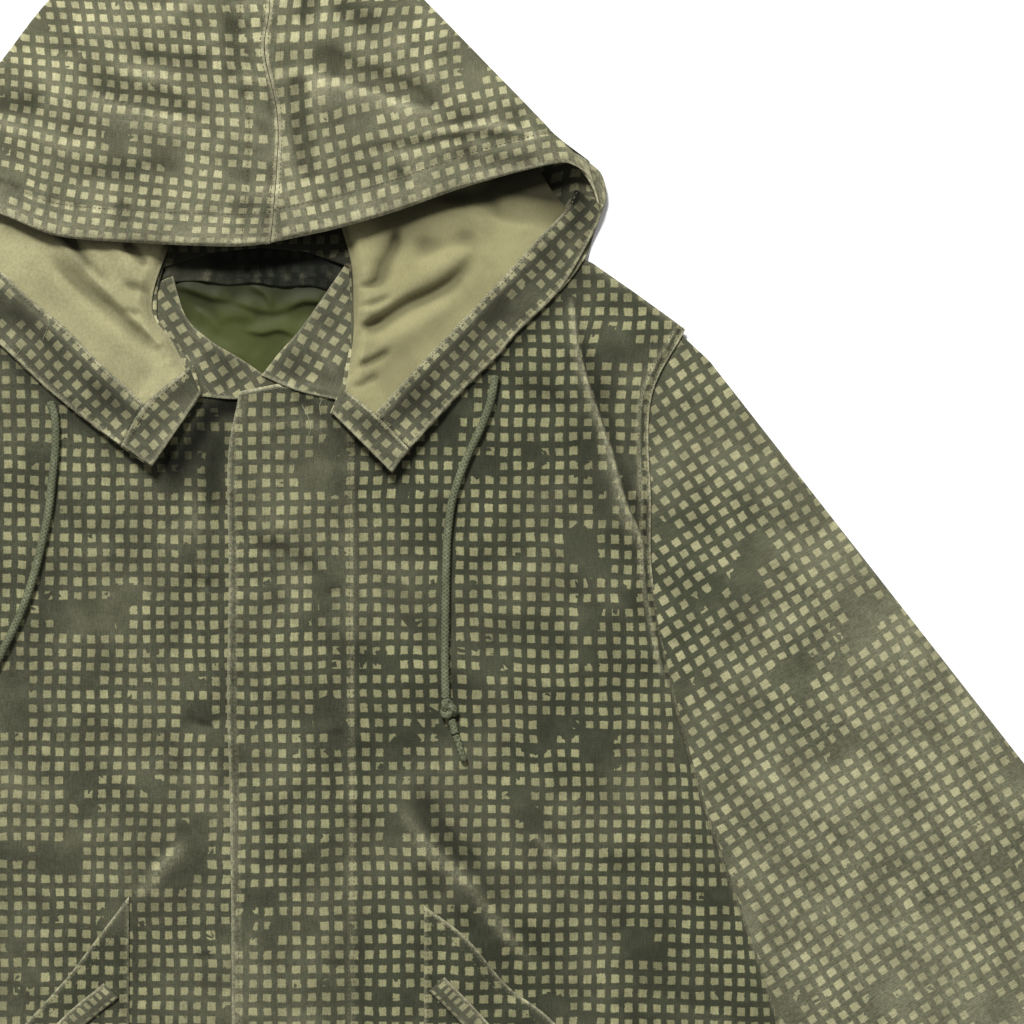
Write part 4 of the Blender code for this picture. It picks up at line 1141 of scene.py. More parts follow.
# %% Tables of the fronts
OVERHANG = [
    (196, 56), (200, 28), (208, -2), (215, -22), (222, -43), (229, -69), (237, -88), (246, -110),
    (250, -132),
]
TUCK = 7.0  # how much cloth is hidden in the long fold
FRONT_CREASES = {
    "left": [
        (OVERHANG, 1.8, 6, 15),
        ([(228, 40), (222, 6), (226, -20)], 7, -0.7),
        ([(82, -252), (100, -283), (131, -314), (149, -337), (165, -356), (184, -374)], 5, 3, 10),
        ([(94, -246), (114, -278), (144, -309)], 8, -1.8),
        ([(171, -280), (181, -291), (192, -303)], 4, 1.6),
        ([(-16, -92), (6, -98), (28, -108), (48, -124)], 5, -1.5, 7),
        ([(-14, -78), (10, -84), (36, -92), (60, -104)], 8, 1.2),
        ([(-16, -30), (8, -22), (34, -24), (56, -40)], 9, 1.2, 6),
        ([(-14, -186), (14, -200), (44, -212)], 6, -0.9, 8),
        ([(262, -190), (280, -260), (300, -330)], 12, 1.5),
        ([(60, -150), (62, -230), (58, -330)], 9, 0.6),
        ([(150, -60), (158, -150), (150, -230)], 18, 0.9),
        ([(200, -190), (205, -270), (225, -350)], 12, 0.9),
        ([(95, -60), (88, -120), (92, -200)], 12, 0.6),
        ([(150, 12), (170, 0), (195, -5)], 7, -0.7),
        ([(30, -200), (34, -300), (28, -400)], 9, 0.7),
        ([(120, -470), (150, -550), (200, -640)], 20, 2),
        ([(270, -520), (250, -640), (230, -760)], 22, 2),
        ([(60, -600), (80, -700), (90, -820)], 20, 1.8),
    ],
    "right": [
        ([(44, -284), (64, -302), (74, -316), (86, -322)], 4, 3, 8),
        ([(46, -57), (40, -100), (34, -150)], 7, 2),
        ([(60, -60), (58, -110), (50, -170)], 7, -0.8),
        ([(34, -200), (38, -280), (34, -380)], 8, 0.9),
        ([(26, -118), (36, -122), (50, -116)], 4, -1),
        ([(24, -204), (36, -210), (52, -206)], 4, -0.9),
        ([(110, -140), (128, -220), (150, -330)], 16, 0.9),
        ([(160, -40), (150, -110), (162, -180)], 14, 0.8),
        ([(205, 40), (218, -20), (228, -90)], 10, 2),
        ([(262, -190), (280, -260), (300, -330)], 12, 1.8),
        ([(130, -480), (160, -560), (190, -660)], 20, 2),
        ([(280, -540), (262, -640), (240, -780)], 22, 2),
        ([(70, -620), (78, -720), (84, -820)], 20, 1.8),
    ],
}
# painted shadow under the collar, and painted shade at the tucks and over the buttons below: strength,
# line, width
BUTTONS = [(46, -127), (46, -217), (46, -363)]
FRONT_SHADE = {
    "left": [
        (0.5, [(24, -4), (44, -20), (58, -36)], 5.5),
        *[(0.45, [(x - 3, y), (x + 3, y + 1)], 2.0) for x, y in BUTTONS],
    ],
    "right": [
        (1.0, [(12, -8), (30, -14), (43, -32), (58, -48)], 11.5),
        (0.6, [(26, -22), (30, -44), (32, -66)], 9.0),
        *[(0.45, [(x - 13, y + 5), (x - 7, y + 6)], 2.0) for x, y in BUTTONS],
    ],
}
SHOULDER_SEAM = np.array([(150, 103.5), (182, 93), (209.6, 80.5), (236, 62), (262, 43)])
FLY_SEAM_X = 57.0
HEM = 24.0  # how far up the hems are stitched
FRONT_FINE = 15
FRONT_SWELL = [(0.7, 75), (0.35, 28), (0.15, 11)]  # how much each size of hill swells
FRONT_ROWS = np.concatenate([np.linspace(0, 0.5, 190), np.linspace(0.5, 1, 50)[1:]])
ARMHOLE = 40  # how many of the side line's 160 steps run down the armhole
NECK_GRAIN = -32.0


# %% Fronts and fly
def side_roll(plan, line, radius=5.0):
    """How far the cloth drops as it rolls over at the body's side."""
    inside = np.clip(1 - near(plan, line)[0] / radius, 0, 1)
    return radius * (1 - np.sqrt(1 - 0.98 * inside**2))


def fly_seam(first, last):
    return [(FLY_SEAM_X - 3, first), (FLY_SEAM_X, -40), (FLY_SEAM_X, -260), (FLY_SEAM_X - 1, last)]


def front(side, below, rests_on):
    columns, left = FRONT_COLUMNS[side], side == "left"
    top = cornered_line([(x, y) for x, y, _ in columns])
    hem = cornered_line([(x, FRONT_HEM) for _, _, x in columns])
    across, down = finer(even(len(columns) - 1), FRONT_FINE)[None], FRONT_ROWS[:, None]
    edge, outer = falling_line(FLY_EDGE[side]), falling_line(SIDE)
    plan = patch(top, hem, edge, outer, across[0], FRONT_ROWS, FRONT_REACH, True)
    seed = 1 if left else 5
    fly_line, side_line, hem_line = edge(even(120)), outer(even(160)), hem(even(9))
    armhole, hem_stitch = side_line[:ARMHOLE], hem_line + (0, HEM)
    sewn = [
        (armhole + (-4.5, 0), 0.12, 1, 0.6, 5, 7, seed),
        (hem_stitch, 0.4, 1.4, 0.5, 8, 10, seed),
    ]
    worn = [
        (1.0, armhole, 1.9), (0.4, armhole + (-6.5, 0), 1.5), (0.3, SHOULDER_SEAM, 2.5),
        (0.5, side_line[ARMHOLE:] + (-1.5, 0), 1.6), (0.8, hem_line, 2.0), (0.2, hem_stitch, 2.0),
    ]
    if left:
        fly, fly_stitch = dense(fly_seam(-4, FRONT_HEM), 80), fly_line + (4.5, 0)
        sewn += [(fly, 0.4, 1.5, 0.3, 8, 10, 4), (fly_stitch, 0.35, 1.3, 0.4, 7, 9, 6)]
        worn += [(0.35, dense(OVERHANG), 1.6), (0.95, fly_line, 1.5)]
        worn += [(0.3, fly_stitch, 1.2), (0.15, fly, 2.0)]
    inner = ease(1 - across, 0, 0.06) * ease(across, 0, 0.05) * ease(1 - down, 0, 0.03)
    swell = sum(
        share * (1 + hills(plan, size, seed + i)) for i, (share, size) in enumerate(FRONT_SWELL)
    )
    relief = inner * ease(down, 0, 0.03) * (swell + creases(plan, FRONT_CREASES[side]))
    # the print follows the cloth over the side and into the long fold
    rolled = 5.0 * np.exp(-near(plan, side_line)[0] / 9.0)
    if left:
        apart, hand, along = near(plan, dense(OVERHANG))
        fades = ease(along, 0, 40) * ease(-along, -190, -150)
        rolled = rolled + TUCK * ease(apart * hand, 0, 2.5) * fades * bell(apart, 30)
    warp = 2.2 * drift(plan, 130, seed, 7) + 0.8 * drift(plan, 45, seed + 2, 7)
    grain = turned(plan + warp + np.stack([rolled, 0 * rolled], axis=-1), side)
    # painted shadow along the collar's edge, and the painted shade listed in FRONT_SHADE
    collar = [dense(FACING_OUTER[side][:FACING_SHOWN], 40), dense(BAND_BOTTOM[side], 20)[::-1]]
    shade = rubbed(plan, [(0.45, np.concatenate(collar) + (1.0, -2.5), 6.5)])
    for row in densely(FRONT_SHADE[side]):
        shade = np.maximum(shade, rubbed(plan, [row]))
    worn = rubbed(plan, worn) + 0.05 * ((plan[..., 0] < FLY_SEAM_X) | (not left))
    looks = {"grain": grain, "drop": side_roll(plan, side_line[30:]), "shade": shade}
    relief = relief + seams(plan, sewn)
    panel(f"front_{side}", side, plan, below, relief, worn, "body", rests_on, **looks)


def neck_facing(side, below):
    edge, outer = smooth_line(NECK_EDGE[side]), smooth_line(NECK_SEAM[side])
    top, bottom = joined_ends(edge, outer)[0], smooth_line(NECK_BOTTOM[side])
    plan = patch(top, bottom, edge, outer, even(24), even(56))
    relief = 0.5 * hills(plan, 12, 4) + crease(plan, [(30, 30), (40, 20), (50, 4)], 3, 0.8)
    worn = [(0.9, outer(even(40)), 1.2), (0.8, bottom(even(30)), 1.2), (0.4, edge(even(30)), 1.0)]
    grain = tilted(plan, NECK_GRAIN) + 1.5 * drift(plan, 30, 3)
    node, rests_on = f"neck_facing_{side}", [f"front_{side}_cloth"]
    panel(node, side, plan, below, relief, rubbed(plan, worn), "trim", rests_on, grain)


def fly_facing(below):
    """The fly's second layer, 1 mm further out and a little higher than the first."""
    top = cornered_line([(x + 1, y + FLY_SHOW) for x, y, _ in FRONT_COLUMNS["left"][:4]])
    (first_x, first_y), *rest = FLY_EDGE["left"]
    edge = falling_line([(first_x + 1, first_y + FLY_SHOW), *[(x + 1, y) for x, y in rest]])
    inner_x = rest[0][0] + FLY_WIDTH
    inner = level_line([top(1.0), (inner_x, -60), (inner_x, FRONT_HEM)])
    plan = patch(top, joined_ends(edge, inner)[1], edge, inner, even(30), even(200))
    worn = rubbed(plan, [(1.0, top(even(30)), 1.6), (0.9, edge(even(60)), 1.4)])
    panel("fly_facing", "left", plan, below, 0.0, worn, "body", ["front_right_cloth"])


BODY = ["sleeve_left", "sleeve_right", "back", "back_lining", "back_neck_facing"]
front("right", BODY, ["back_cloth"])
BODY.append("front_right")
neck_facing("right", BODY)
BODY.append("neck_facing_right")
fly_facing(BODY)
BODY.append("fly_facing")
front("left", BODY, ["fly_facing_cloth", "back_cloth"])
BODY.append("front_left")
neck_facing("left", BODY)
BODY.append("neck_facing_left")

# %% [markdown]
# ## Pockets
#
# Each front has a large patch pocket with a slanted mouth, bound by a folded welt. Only their
# upper ends show in the photo.

# %% Pockets
def pocket(side):
    top = smooth_line(POCKET_TOP[side])
    ends = [(top(0.0)[0], POCKET_BOTTOM), (top(1.0)[0] + POCKET_FLARE, POCKET_BOTTOM)]
    bottom = cornered_line(ends)
    left, right = joined_ends(top, bottom)
    plan = patch(top, bottom, left, right, even(50), even(96))
    top_line, left_line = top(even(40)), left(even(40))
    sewn = [(top_line + (2, -4), 0.4, 1.4, 0.4, 7, 9, 2), (left_line + (4, 0), 0.4, 1.4, 0.3)]
    relief = seams(plan, sewn) + 0.3 * hills(plan, 22, 8)
    worn = rubbed(plan, [(0.8, top_line, 1.4), (0.4, left_line, 1.3)])
    grain = turned(plan + 1.5 * drift(plan, 80, 3, 9) + (4.0, 3.0), side)
    front_node = f"front_{side}"
    rests_on = [front_node + "_cloth"]
    panel(f"pocket_{side}", side, plan, [front_node], relief, worn, "body", rests_on, grain)


def pocket_welt(side):
    line = smooth_line(WELT_LINE[side])
    run = line(1.0) - line(0.0)
    length = np.linalg.norm(run)
    rows, columns = even(60)[:, None], even(8)[None]
    across = WELT_WIDTH * np.array([run[1], -run[0]]) / length
    plan = line(rows[:, 0])[:, None] + columns[..., None] * across
    relief = 0.5 * np.sin(math.pi * columns) + 0.3 * hills(plan, 9, 5)
    worn = rubbed(plan, [(0.9, plan[:, 0], 1.3), (0.5, plan[:, -1], 1.2)])
    grain = np.stack(np.broadcast_arrays(columns * WELT_WIDTH, rows * length), axis=-1)
    below, rests_on = [f"front_{side}", f"pocket_{side}"], [f"pocket_{side}_cloth"]
    panel(f"pocket_welt_{side}", side, plan, below, relief, worn, "trim", rests_on, grain)


for side in reversed(SIDES):
    pocket(side)
    pocket_welt(side)

# %% [markdown]
# ## The hood
#
# The hood is turned open over the shoulders: each half lies folded, so the part on top shows its
# printed outside and the part below shows the tan lining. A half is one grid from its front edge over
# the outer fold to the free edge below. A flat-felled seam joins the halves, and a tunnel for
# the drawcord is stitched along the front edge.

# %% Tables of the crown
CROWN_CREASES = {
    "left": [
        ([(18, 200), (36, 193), (55, 187), (74, 181), (103, 173), (128, 165)], 5.5, 6.5, 20),
        ([(100, 160), (122, 162), (147, 165), (168, 160), (194, 153)], 4, 4, 10),
        ([(26, 216), (48, 206), (72, 196), (96, 186), (116, 178)], 9, -5, 7),
        ([(24, 204), (23, 172), (29, 132)], 8, -6, 5),
        ([(22, 144), (30, 138), (36, 131)], 5, -3),
        ([(60, 150), (84, 153), (112, 156), (146, 159), (176, 157)], 3, -2.6, 4),
        ([(46, 162), (90, 150), (130, 146)], 12, 1.6),
        ([(76, 232), (90, 215), (106, 200), (122, 190)], 8, 2.8, 10),
        ([(44, 246), (60, 236), (78, 228)], 8, -2.4),
        ([(18, 262), (30, 244), (26, 222)], 5, -2.2),
        ([(40, 300), (34, 268), (30, 240)], 8, 2.4),
        ([(70, 290), (84, 262), (92, 240)], 7, -2),
        ([(120, 150), (150, 143), (186, 146)], 5, -1.5),
    ],
    "right": [
        ([(113, 189), (96, 178), (65, 171), (46, 167), (28, 161)], 16, 6, 4.5),
        ([(106, 198), (84, 188), (60, 181), (40, 176)], 8, -4, 8),
        ([(176, 172), (150, 162), (120, 152), (96, 150)], 9, 2.6, 7),
        ([(24, 262), (52, 236), (84, 226), (120, 232)], 10, 2.4),
        ([(20, 210), (52, 206), (84, 212)], 8, -2.2),
        ([(40, 146), (80, 138), (130, 136)], 7, -1.8),
        ([(130, 190), (150, 180), (176, 178)], 8, -2),
        ([(16, 246), (20, 216), (16, 186)], 5, -1.8),
    ],
}
# the seams beside the centre: how far in, groove, width, pucker, reach, wave, seed
CENTRE_SEWN = {
    "left": [(1.8, 0.9, 1.8, 1.7, 14, 9, 5)],
    "right": [(2.1, 0.9, 1.8, 1.7, 14, 9, 5), (18, 0.7, 1.6, 1.5, 9, 8, 7)],
}
CROWN_SWELL = [(1.5, 48), (0.8, 20), (0.3, 9)]  # how much each size of hill swells
CROWN_SEED = {"left": 2, "right": 8}
TUNNEL = (0.5, 20.5)  # from the front edge to the stitching of the cord's tunnel
TIP_LIFT = 6.0  # how far the collar tips stand off the fronts
TIP_SPREAD = 42.0
NECK_SHADE = (0.0, 130.0)  # the centre of the painted shade deep inside the hood
CORNER_SHADE = (184.0, 131.0)  # and of the painted shade inside its corner
CROWN_GRAIN = {"left": math.radians(13.0), "right": math.radians(10.0)}
CROWN_PRINT = (0.98, 1.14)  # the hood's cloth has shrunk a little
PUFFED = 3.2  # how much the front edge swells near the corner
SOFT_FALL = 2.2  # how slowly the crown falls from its front edge
HOOD_ACROSS = 96
CROWN_DOWN = 90
UNDER_DOWN = 8  # fine rows for each step of the lower part's edge
UNDER_ROUNDS = 30


# %% Hood
def inward_of_fold(side, across):
    """Unit directions from the outer fold towards the inside of the hood."""
    fold = smooth_line(OUTER_FOLD[side])(across)
    run = np.gradient(fold, axis=0)
    inward = unit(np.stack([run[:, 1], -run[:, 0]], axis=-1))
    inward *= np.sign(((np.array(HOOD_MIDDLE) - fold) * inward).sum(axis=-1, keepdims=True))
    return inward + ease(across, 0.9, 1.0)[:, None] * (np.array([0.0, -1.0]) - inward)


def crown_map(side, crown, edge_line, middle):
    """Rows of squares along the crown's front edge, turned back further up."""
    angle = CROWN_GRAIN[side]
    ways = np.array([(math.cos(angle), -math.sin(angle)), (math.sin(angle), math.cos(angle))])
    edge_along, edge_rise = ((edge_line - middle) @ ways).T
    along, rise = np.moveaxis((crown - middle) @ ways, -1, 0)
    order = np.argsort(edge_along)
    lift = np.interp(along, edge_along[order], edge_rise[order])
    rise = rise - lift * np.exp(-np.maximum(rise - lift, 0) / 45.0)
    back = angle * ease(rise, 20, 200)
    c, s = np.cos(back), np.sin(back)
    return np.stack([along * c - rise * s, along * s + rise * c], axis=-1) * CROWN_PRINT


def crown_relief(side, crown, across, up, edge_line, seam_line):
    """How the crown's folds, seams and puffed edge stand above its broad form."""
    quiet = np.outer(ease(1 - up, 0, 0.2), ease(across, 0, 0.15) * ease(1 - across, 0, 0.06))
    swell = creases(crown, CROWN_CREASES[side])
    for i, (share, size) in enumerate(CROWN_SWELL):
        swell = swell + share * hills(crown, size, CROWN_SEED[side] + i)
    relief = quiet * swell + seam(crown, edge_line + TUNNEL, 1.1, 2, 1.2, 9, 9, 3) * ease(across, 0.02, 0.1)
    relief = relief + seams(crown, [(seam_line + (inset, 0), *row) for inset, *row in CENTRE_SEWN[side]])
    lip = near(crown, edge_line)[0]
    puffed = PUFFED * (1 - ease(across, 0.05, 0.5))
    worn = [(0.75, edge_line, 3.0), (0.3, edge_line + TUNNEL, 2.0), (0.85, seam_line, 1.8)]
    worn = rubbed(crown, worn) + (0.26 + 0.06 * puffed) * bell(lip, 14)
    return relief + puffed * (bell(lip - 8, 6) - 0.5 * bell(lip - 19, 3)), worn, lip


def hood(side, below):
    across, up = even(HOOD_ACROSS), even(CROWN_DOWN)
    fold_line, corner = smooth_line(OUTER_FOLD[side]), smooth_line(CORNER[side])
    strip, edge = smooth_line(STRIP_EDGE[side]), cornered_line(UNDER_EDGE[side])
    fold, inward = fold_line(across), inward_of_fold(side, across)
    bend = FOLD_RADIUS * (0.3 + 0.7 * ease(across, 0, 0.1))
    inset = bend[:, None] * inward
    # the lower part
    down = finer(even(len(UNDER_EDGE[side]) - 1), UNDER_DOWN)
    plan = patch(fold_line, strip, corner, edge, across, down) + (1 - down)[:, None, None] * inset
    roll = CORNER_ROLL * bell(distance(plan, corner(0.6)), 18) * ease(down, 0, 0.06)[:, None]
    tip = TIP_LIFT * bell(distance(plan, STRIP_EDGE[side][-1]), TIP_SPREAD)
    under_top = lay(turned(plan, side), below, UNDER_ROUNDS) + roll + tip
    foot = under_top[0] - CLOTH
    # round the fold
    rest = [
        np.column_stack([fold + (1 - math.sin(angle)) * inset, foot + bend * (1 + math.cos(angle))])
        for angle in np.radians(np.linspace(0, 180, 9)[1:-1])
    ]
    rest = np.concatenate([rest, np.dstack([plan, under_top - CLOTH])])
    # the crown
    front_line, centre = smooth_line(CROWN_FRONT[side]), smooth_line(CENTRE_SEAM[side])
    crown = patch(front_line, fold_line, joined_ends(front_line, fold_line)[0], centre, across, up)
    crown = crown + up[:, None, None] * inset
    edge_line, seam_line = front_line(even(90)), centre(even(90))
    front_height = CORNER_EDGE + (CROWN_EDGE - CORNER_EDGE) * ease(across, 0.0, 0.7)
    fold_height = foot + 2 * bend
    relief, worn, lip = crown_relief(side, crown, across, up, edge_line, seam_line)
    height = fold_height + np.outer(1 - up**SOFT_FALL, front_height - fold_height) + relief
    height = height + 0.7 * bell(lip - 9, 7) - 1.6 * bell(lip, 2.2)
    points = np.concatenate([np.dstack([crown, height]), rest])
    # the rest goes on from the crown's map, and has its own marks
    rest = rest[..., :2]
    grain = crown_map(side, crown, edge_line, front_line(0.5)) + 1.8 * drift(crown, 60, 5)
    grain = np.concatenate([grain, rest + (grain[-1] - rest[0])])
    worn = np.concatenate([worn, 0.6 * bell(near(rest, corner(even(20)))[0], 6)])
    relief = np.concatenate([relief, np.zeros(rest.shape[:-1])])
    # painted shade on the lower part, deep inside the hood round the neck and in its corner
    dark = 0.95 * (1 - ease(distance(rest, NECK_SHADE), 70, 110)) + bell(distance(rest, CORNER_SHADE), 31)
    shade = np.concatenate([np.zeros(crown.shape[:-1]), dark])
    points[..., :2] = turned(points[..., :2], side)
    rests_on = ["front_left_cloth", "front_right_cloth"]
    looks = {"closed": True, "relief": relief, "shade": shade}
    piece = shell(f"hood_{side}", points, grain, worn, "hood", rests_on, **looks)
    face_outwards(piece.data)
    remember(f"hood_{side}", np.dstack([turned(plan, side), under_top]))
    remember(f"crown_{side}", points[: CROWN_DOWN + 1])


# %% [markdown]
# ## Hood lining, facings and bands
#
# Inside the hood a tan cotton lining lies in soft folds. A printed facing, sewn along the front
# edge, makes the broad strips on both sides of the neck, and a short band of the same cloth closes
# each lower corner.

# %% Tables of the lining
LINING_LIFT = 4.0
LINING_CREASES = {
    "left": [
        ([(52, 22), (60, 34), (74, 42), (92, 54), (110, 62), (124, 72), (140, 90)], 4, -4.2, 6.5),
        ([(54, 38), (76, 52), (96, 66), (116, 80), (136, 96)], 10, 4, 9),
        ([(58, 20), (84, 32), (108, 46), (130, 62)], 8, 2.6),
        ([(86, 106), (84, 92), (76, 76), (70, 60)], 7, -3.2, 5),
        ([(59, 66), (68, 66), (78, 70)], 2.4, -2.2),
        ([(59, 53), (70, 54), (84, 60)], 2.4, -2.4),
        ([(59, 40), (68, 41), (78, 46)], 2.4, -1.6),
        ([(58, 14), (70, 18), (84, 26)], 2.6, -2.2),
        ([(55, 3), (64, 4), (76, 10)], 2.4, -1.6),
        ([(92, 100), (104, 92), (122, 94), (140, 104)], 9, -2.6),
        ([(100, 112), (114, 102), (130, 106), (150, 114)], 10, 2),
    ],
    "right": [
        ([(134, 102), (116, 84), (96, 62), (74, 40), (52, 20)], 4, 5, 12),
        ([(140, 92), (120, 70), (100, 52), (80, 34), (62, 22)], 5, -3, 9),
        ([(128, 102), (118, 90), (106, 76), (92, 62)], 4, -4, 6),
        ([(100, 100), (84, 80), (68, 62)], 7, 2.2),
        ([(90, 96), (78, 84), (68, 74)], 5, -2.4),
        ([(150, 92), (128, 66), (108, 44), (86, 26)], 8, 1.6),
        ([(60, 54), (72, 62), (88, 68)], 3, -2),
        ([(60, 34), (74, 46), (90, 50)], 3, -1.6),
    ],
}
# where the crown keeps the light off the lining: strength, line, width
LINING_SHADE = {
    "left": [
        (0.8, [(80, 105), (120, 119), (158, 130), (192, 138)], 14.0),
        (0.9, [(170, 142), (196, 122)], 20.0),
    ],
    "right": [
        (0.5, [(60, 92), (110, 94), (160, 104)], 6.0),
        (0.55, [(126, 98), (118, 90), (111, 80)], 5.0),
    ],
}
LINING_WALL = 0.8
LINING_WORN = {"left": 0.05, "right": 0.45}
OPEN_ROOM = 99.0  # where no crown lies over the lining
STRIP_GRAIN = -44.0  # the strips were cut at an angle
STRIP_PRINT = 1.03  # and have shrunk a little


# %% Lining and strips
def between(one, other, share):
    return one * (1 - share) + other * share


def hood_lining(side, below):
    edge = np.array(FACING_INNER[side], float)[:-1] + LAP * np.array([0.7, -0.7])
    neck, outer = smooth_line(LINING_NECK[side]), smooth_line([*edge, *LINING_INSIDE[side]])
    plan = patch(*joined_ends(neck, outer), neck, outer, even(96), even(120))
    place = turned(plan, side)
    least = lay(place, below)
    swell = LINING_LIFT + creases(plan, LINING_CREASES[side])
    swell = swell + 0.9 * hills(plan, 40, 4) + 0.25 * hills(plan, 14, 6)
    swell = swell + seam(plan, neck(even(60)) + (2, 0), 0.3, 1.2, 1.2, 10, 8, 2)
    raised = least + np.maximum(swell, 0) * ease(near(plan, neck(even(40)))[0], 0, 9)
    crown = ground(place, [f"crown_{side}"])
    room = np.where(crown > 0, crown - CLOTH - 2 * GAP, least + OPEN_ROOM)
    points = np.dstack([place, np.minimum(raised, np.maximum(room, least))])
    worn = rubbed(plan, [(0.25, neck(even(60)), 2.0)]) + LINING_WORN[side]
    looks = {"slot": "lining", "wall": LINING_WALL, "shade": rubbed(plan, densely(LINING_SHADE[side]))}
    shell(f"hood_lining_{side}", points, plan, worn, "lining", [f"hood_{side}_cloth"], **looks)


def hood_facing(side, below):
    inner, outer = smooth_line(FACING_INNER[side]), smooth_line(FACING_OUTER[side])
    plan = patch(*joined_ends(inner, outer), inner, outer, even(20), even(80))
    inner_line, outer_line = inner(even(60)), outer(even(60))
    sewn = [
        (between(inner_line, outer_line, 0.1), 0.35, 1.2, 0.4, 6, 8, 3),
        (between(inner_line, outer_line, 0.88), 0.3, 1.2, 0.35, 6, 8, 5),
    ]
    relief = seams(plan, sewn) + 0.3 * hills(plan, 18, 2)
    # painted shade where the facing goes in under the hood's corner, where it also shows no wear
    shade = 0.95 * bell(distance(plan, inner(1.0)), 17)
    worn = rubbed(plan, [(0.85, inner_line, 1.4), (0.9, outer_line, 1.4)]) * (1 - shade)
    grain = STRIP_PRINT * tilted(plan, STRIP_GRAIN) + 0.8 * drift(plan, 40, 3)
    node, rests_on = f"hood_facing_{side}", [f"hood_{side}_cloth"]
    panel(node, side, plan, below, relief, worn, "trim", rests_on, grain, shade=shade)


def hood_band(side, below):
    top, bottom = smooth_line(BAND_TOP[side]), smooth_line(BAND_BOTTOM[side])
    left, right = joined_ends(top, bottom)
    plan = patch(top, bottom, left, right, even(30), even(14))
    top_line, bottom_line = top(even(30)), bottom(even(30))
    relief = seam(plan, between(top_line, bottom_line, 0.15), 0.35, 1.1, 0.3) + 0.2 * hills(plan, 10, 2)
    worn = [(0.9, top_line, 1.2), (0.9, bottom_line, 1.4), (0.8, right(even(10)), 1.3)]
    grain = STRIP_PRINT * tilted(plan, STRIP_GRAIN)
    node, rests_on = f"hood_band_{side}", [f"hood_facing_{side}_cloth"]
    panel(node, side, plan, below, relief, rubbed(plan, worn), "trim", rests_on, grain)


for side in reversed(SIDES):
    hood(side, BODY + ([] if side == "right" else ["hood_right"]))
    below = [*BODY, f"hood_{side}"]
    for add_part in (hood_lining, hood_facing, hood_band):
        add_part(side, below)
        below.append(f"{add_part.__name__}_{side}")

# %% [markdown]
# ## Drawcords
#
# A drawcord comes out of the tunnel at each side and lies loose on the front. It is a braid, 5 mm
# thick, so its tube gets a relief of crossing strands. Each ends in an overhand knot, a short end
# and a tip that was sealed by heat.

# %% Tubes
CORD = 5.0
ROUND = 28  # points round a cord
END_ROUND = 1.0
END_CAP = 0.2  # how far a cord's end bulges, as a part of its radius
BRAID = 2.6  # from strand to strand along the cord
BRAID_WEAR = 0.55
SAG_ROUNDS = 12
COVER = [*BODY, "pocket_left", "pocket_right"]
for side in SIDES:
    COVER += [
        f"{part}_{side}" for part in ("hood", "hood_lining", "hood_facing", "hood_band", "pocket_welt")
    ]


def tube(name, path, radius, relief=0.08, twist=1.0):
    """A tube of cord round a path of points, with round ends and a braid's relief."""
    run = unit(np.gradient(path, axis=0))
    aside = unit(np.cross(run, (0, 0, 1.0)))
    over = np.cross(aside, run)
    length = run_lengths(path)
    angle = np.linspace(0, 2 * math.pi, ROUND, endpoint=False)
    end = np.clip(np.minimum(length, length[-1] - length) / END_ROUND, 0, 1)
    size = np.broadcast_to(radius, length.shape) * np.sqrt(np.clip(1 - (1 - end) ** 2, 0.3, 1))
    turn = length[:, None] * 2 * math.pi / BRAID * twist
    strands = np.maximum(np.sin(4 * angle + turn), np.sin(4 * angle - turn))
    ring = np.cos(angle)[:, None] * aside[:, None] + np.sin(angle)[:, None] * over[:, None]
    points = path[:, None] + (size[:, None] * (1 + relief * strands))[..., None] * ring
    caps = [path[0] - run[0] * size[0] * END_CAP, path[-1] + run[-1] * size[-1] * END_CAP]
    index = np.arange(len(path) * ROUND).reshape(len(path), ROUND)
    after = np.roll(index, -1, axis=1)
    cells = np.stack([index[:-1], after[:-1], after[1:], index[1:]], axis=-1).reshape(-1, 4).tolist()
    for k in range(ROUND):
        cells.append([int(after[0, k]), int(index[0, k]), index.size])
        cells.append([int(index[-1, k]), int(after[-1, k]), index.size + 1])
    around = np.concatenate([np.tile(angle * np.max(radius), len(path)), [0, 0]])
    down = np.concatenate([np.repeat(length, ROUND), [0, length[-1]]])
    worn = np.concatenate([np.clip(strands, 0, 1).ravel() * BRAID_WEAR, [0, 0]])
    points = np.concatenate([points.reshape(-1, 3), caps])
    piece = write_mesh(name, points, cells, np.column_stack([around, down]), {"worn": worn}, "cord")
    face_outwards(piece.data)
    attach(piece, "root")
    return piece


def drape(line, radius, below):
    """The centre of a cord that lies on what is below it."""
    rise = [np.zeros(len(line))]
    rise += [ground(line + (shift * radius, 0), below) for shift in (-0.7, 0.0, 0.7)]
    height = np.max(rise, axis=0)
    for _ in range(SAG_ROUNDS):
        pad = np.pad(height, 1, mode="edge")
        height = np.maximum(height, (pad[:-2] + pad[2:]) / 2)
    return np.column_stack([line, height + radius])


def evenly(line, step):
    """A line's points again, at even steps of length."""
    length = run_lengths(line)
    at = np.linspace(0, length[-1], max(int(length[-1] / step), 2))
    return np.column_stack([np.interp(at, length, line[:, k]) for k in range(line.shape[1])])


# %% Drawcords
KNOT = (5.0, 6.2, 3.6)
KNOT_CORD = 2.3
KNOT_LOOP = (1.215, 1.62, 1.755)  # how far the knot's loop goes aside, along and up
END_SIZE = 0.96
TIP_RADIUS = 2.7
TIP_LENGTH = 18.0
TIP_SIZE = (0.86, 0.1, 0.05)  # its thickness, how it narrows, and its ripple
TIP_RIPPLE = 2.1


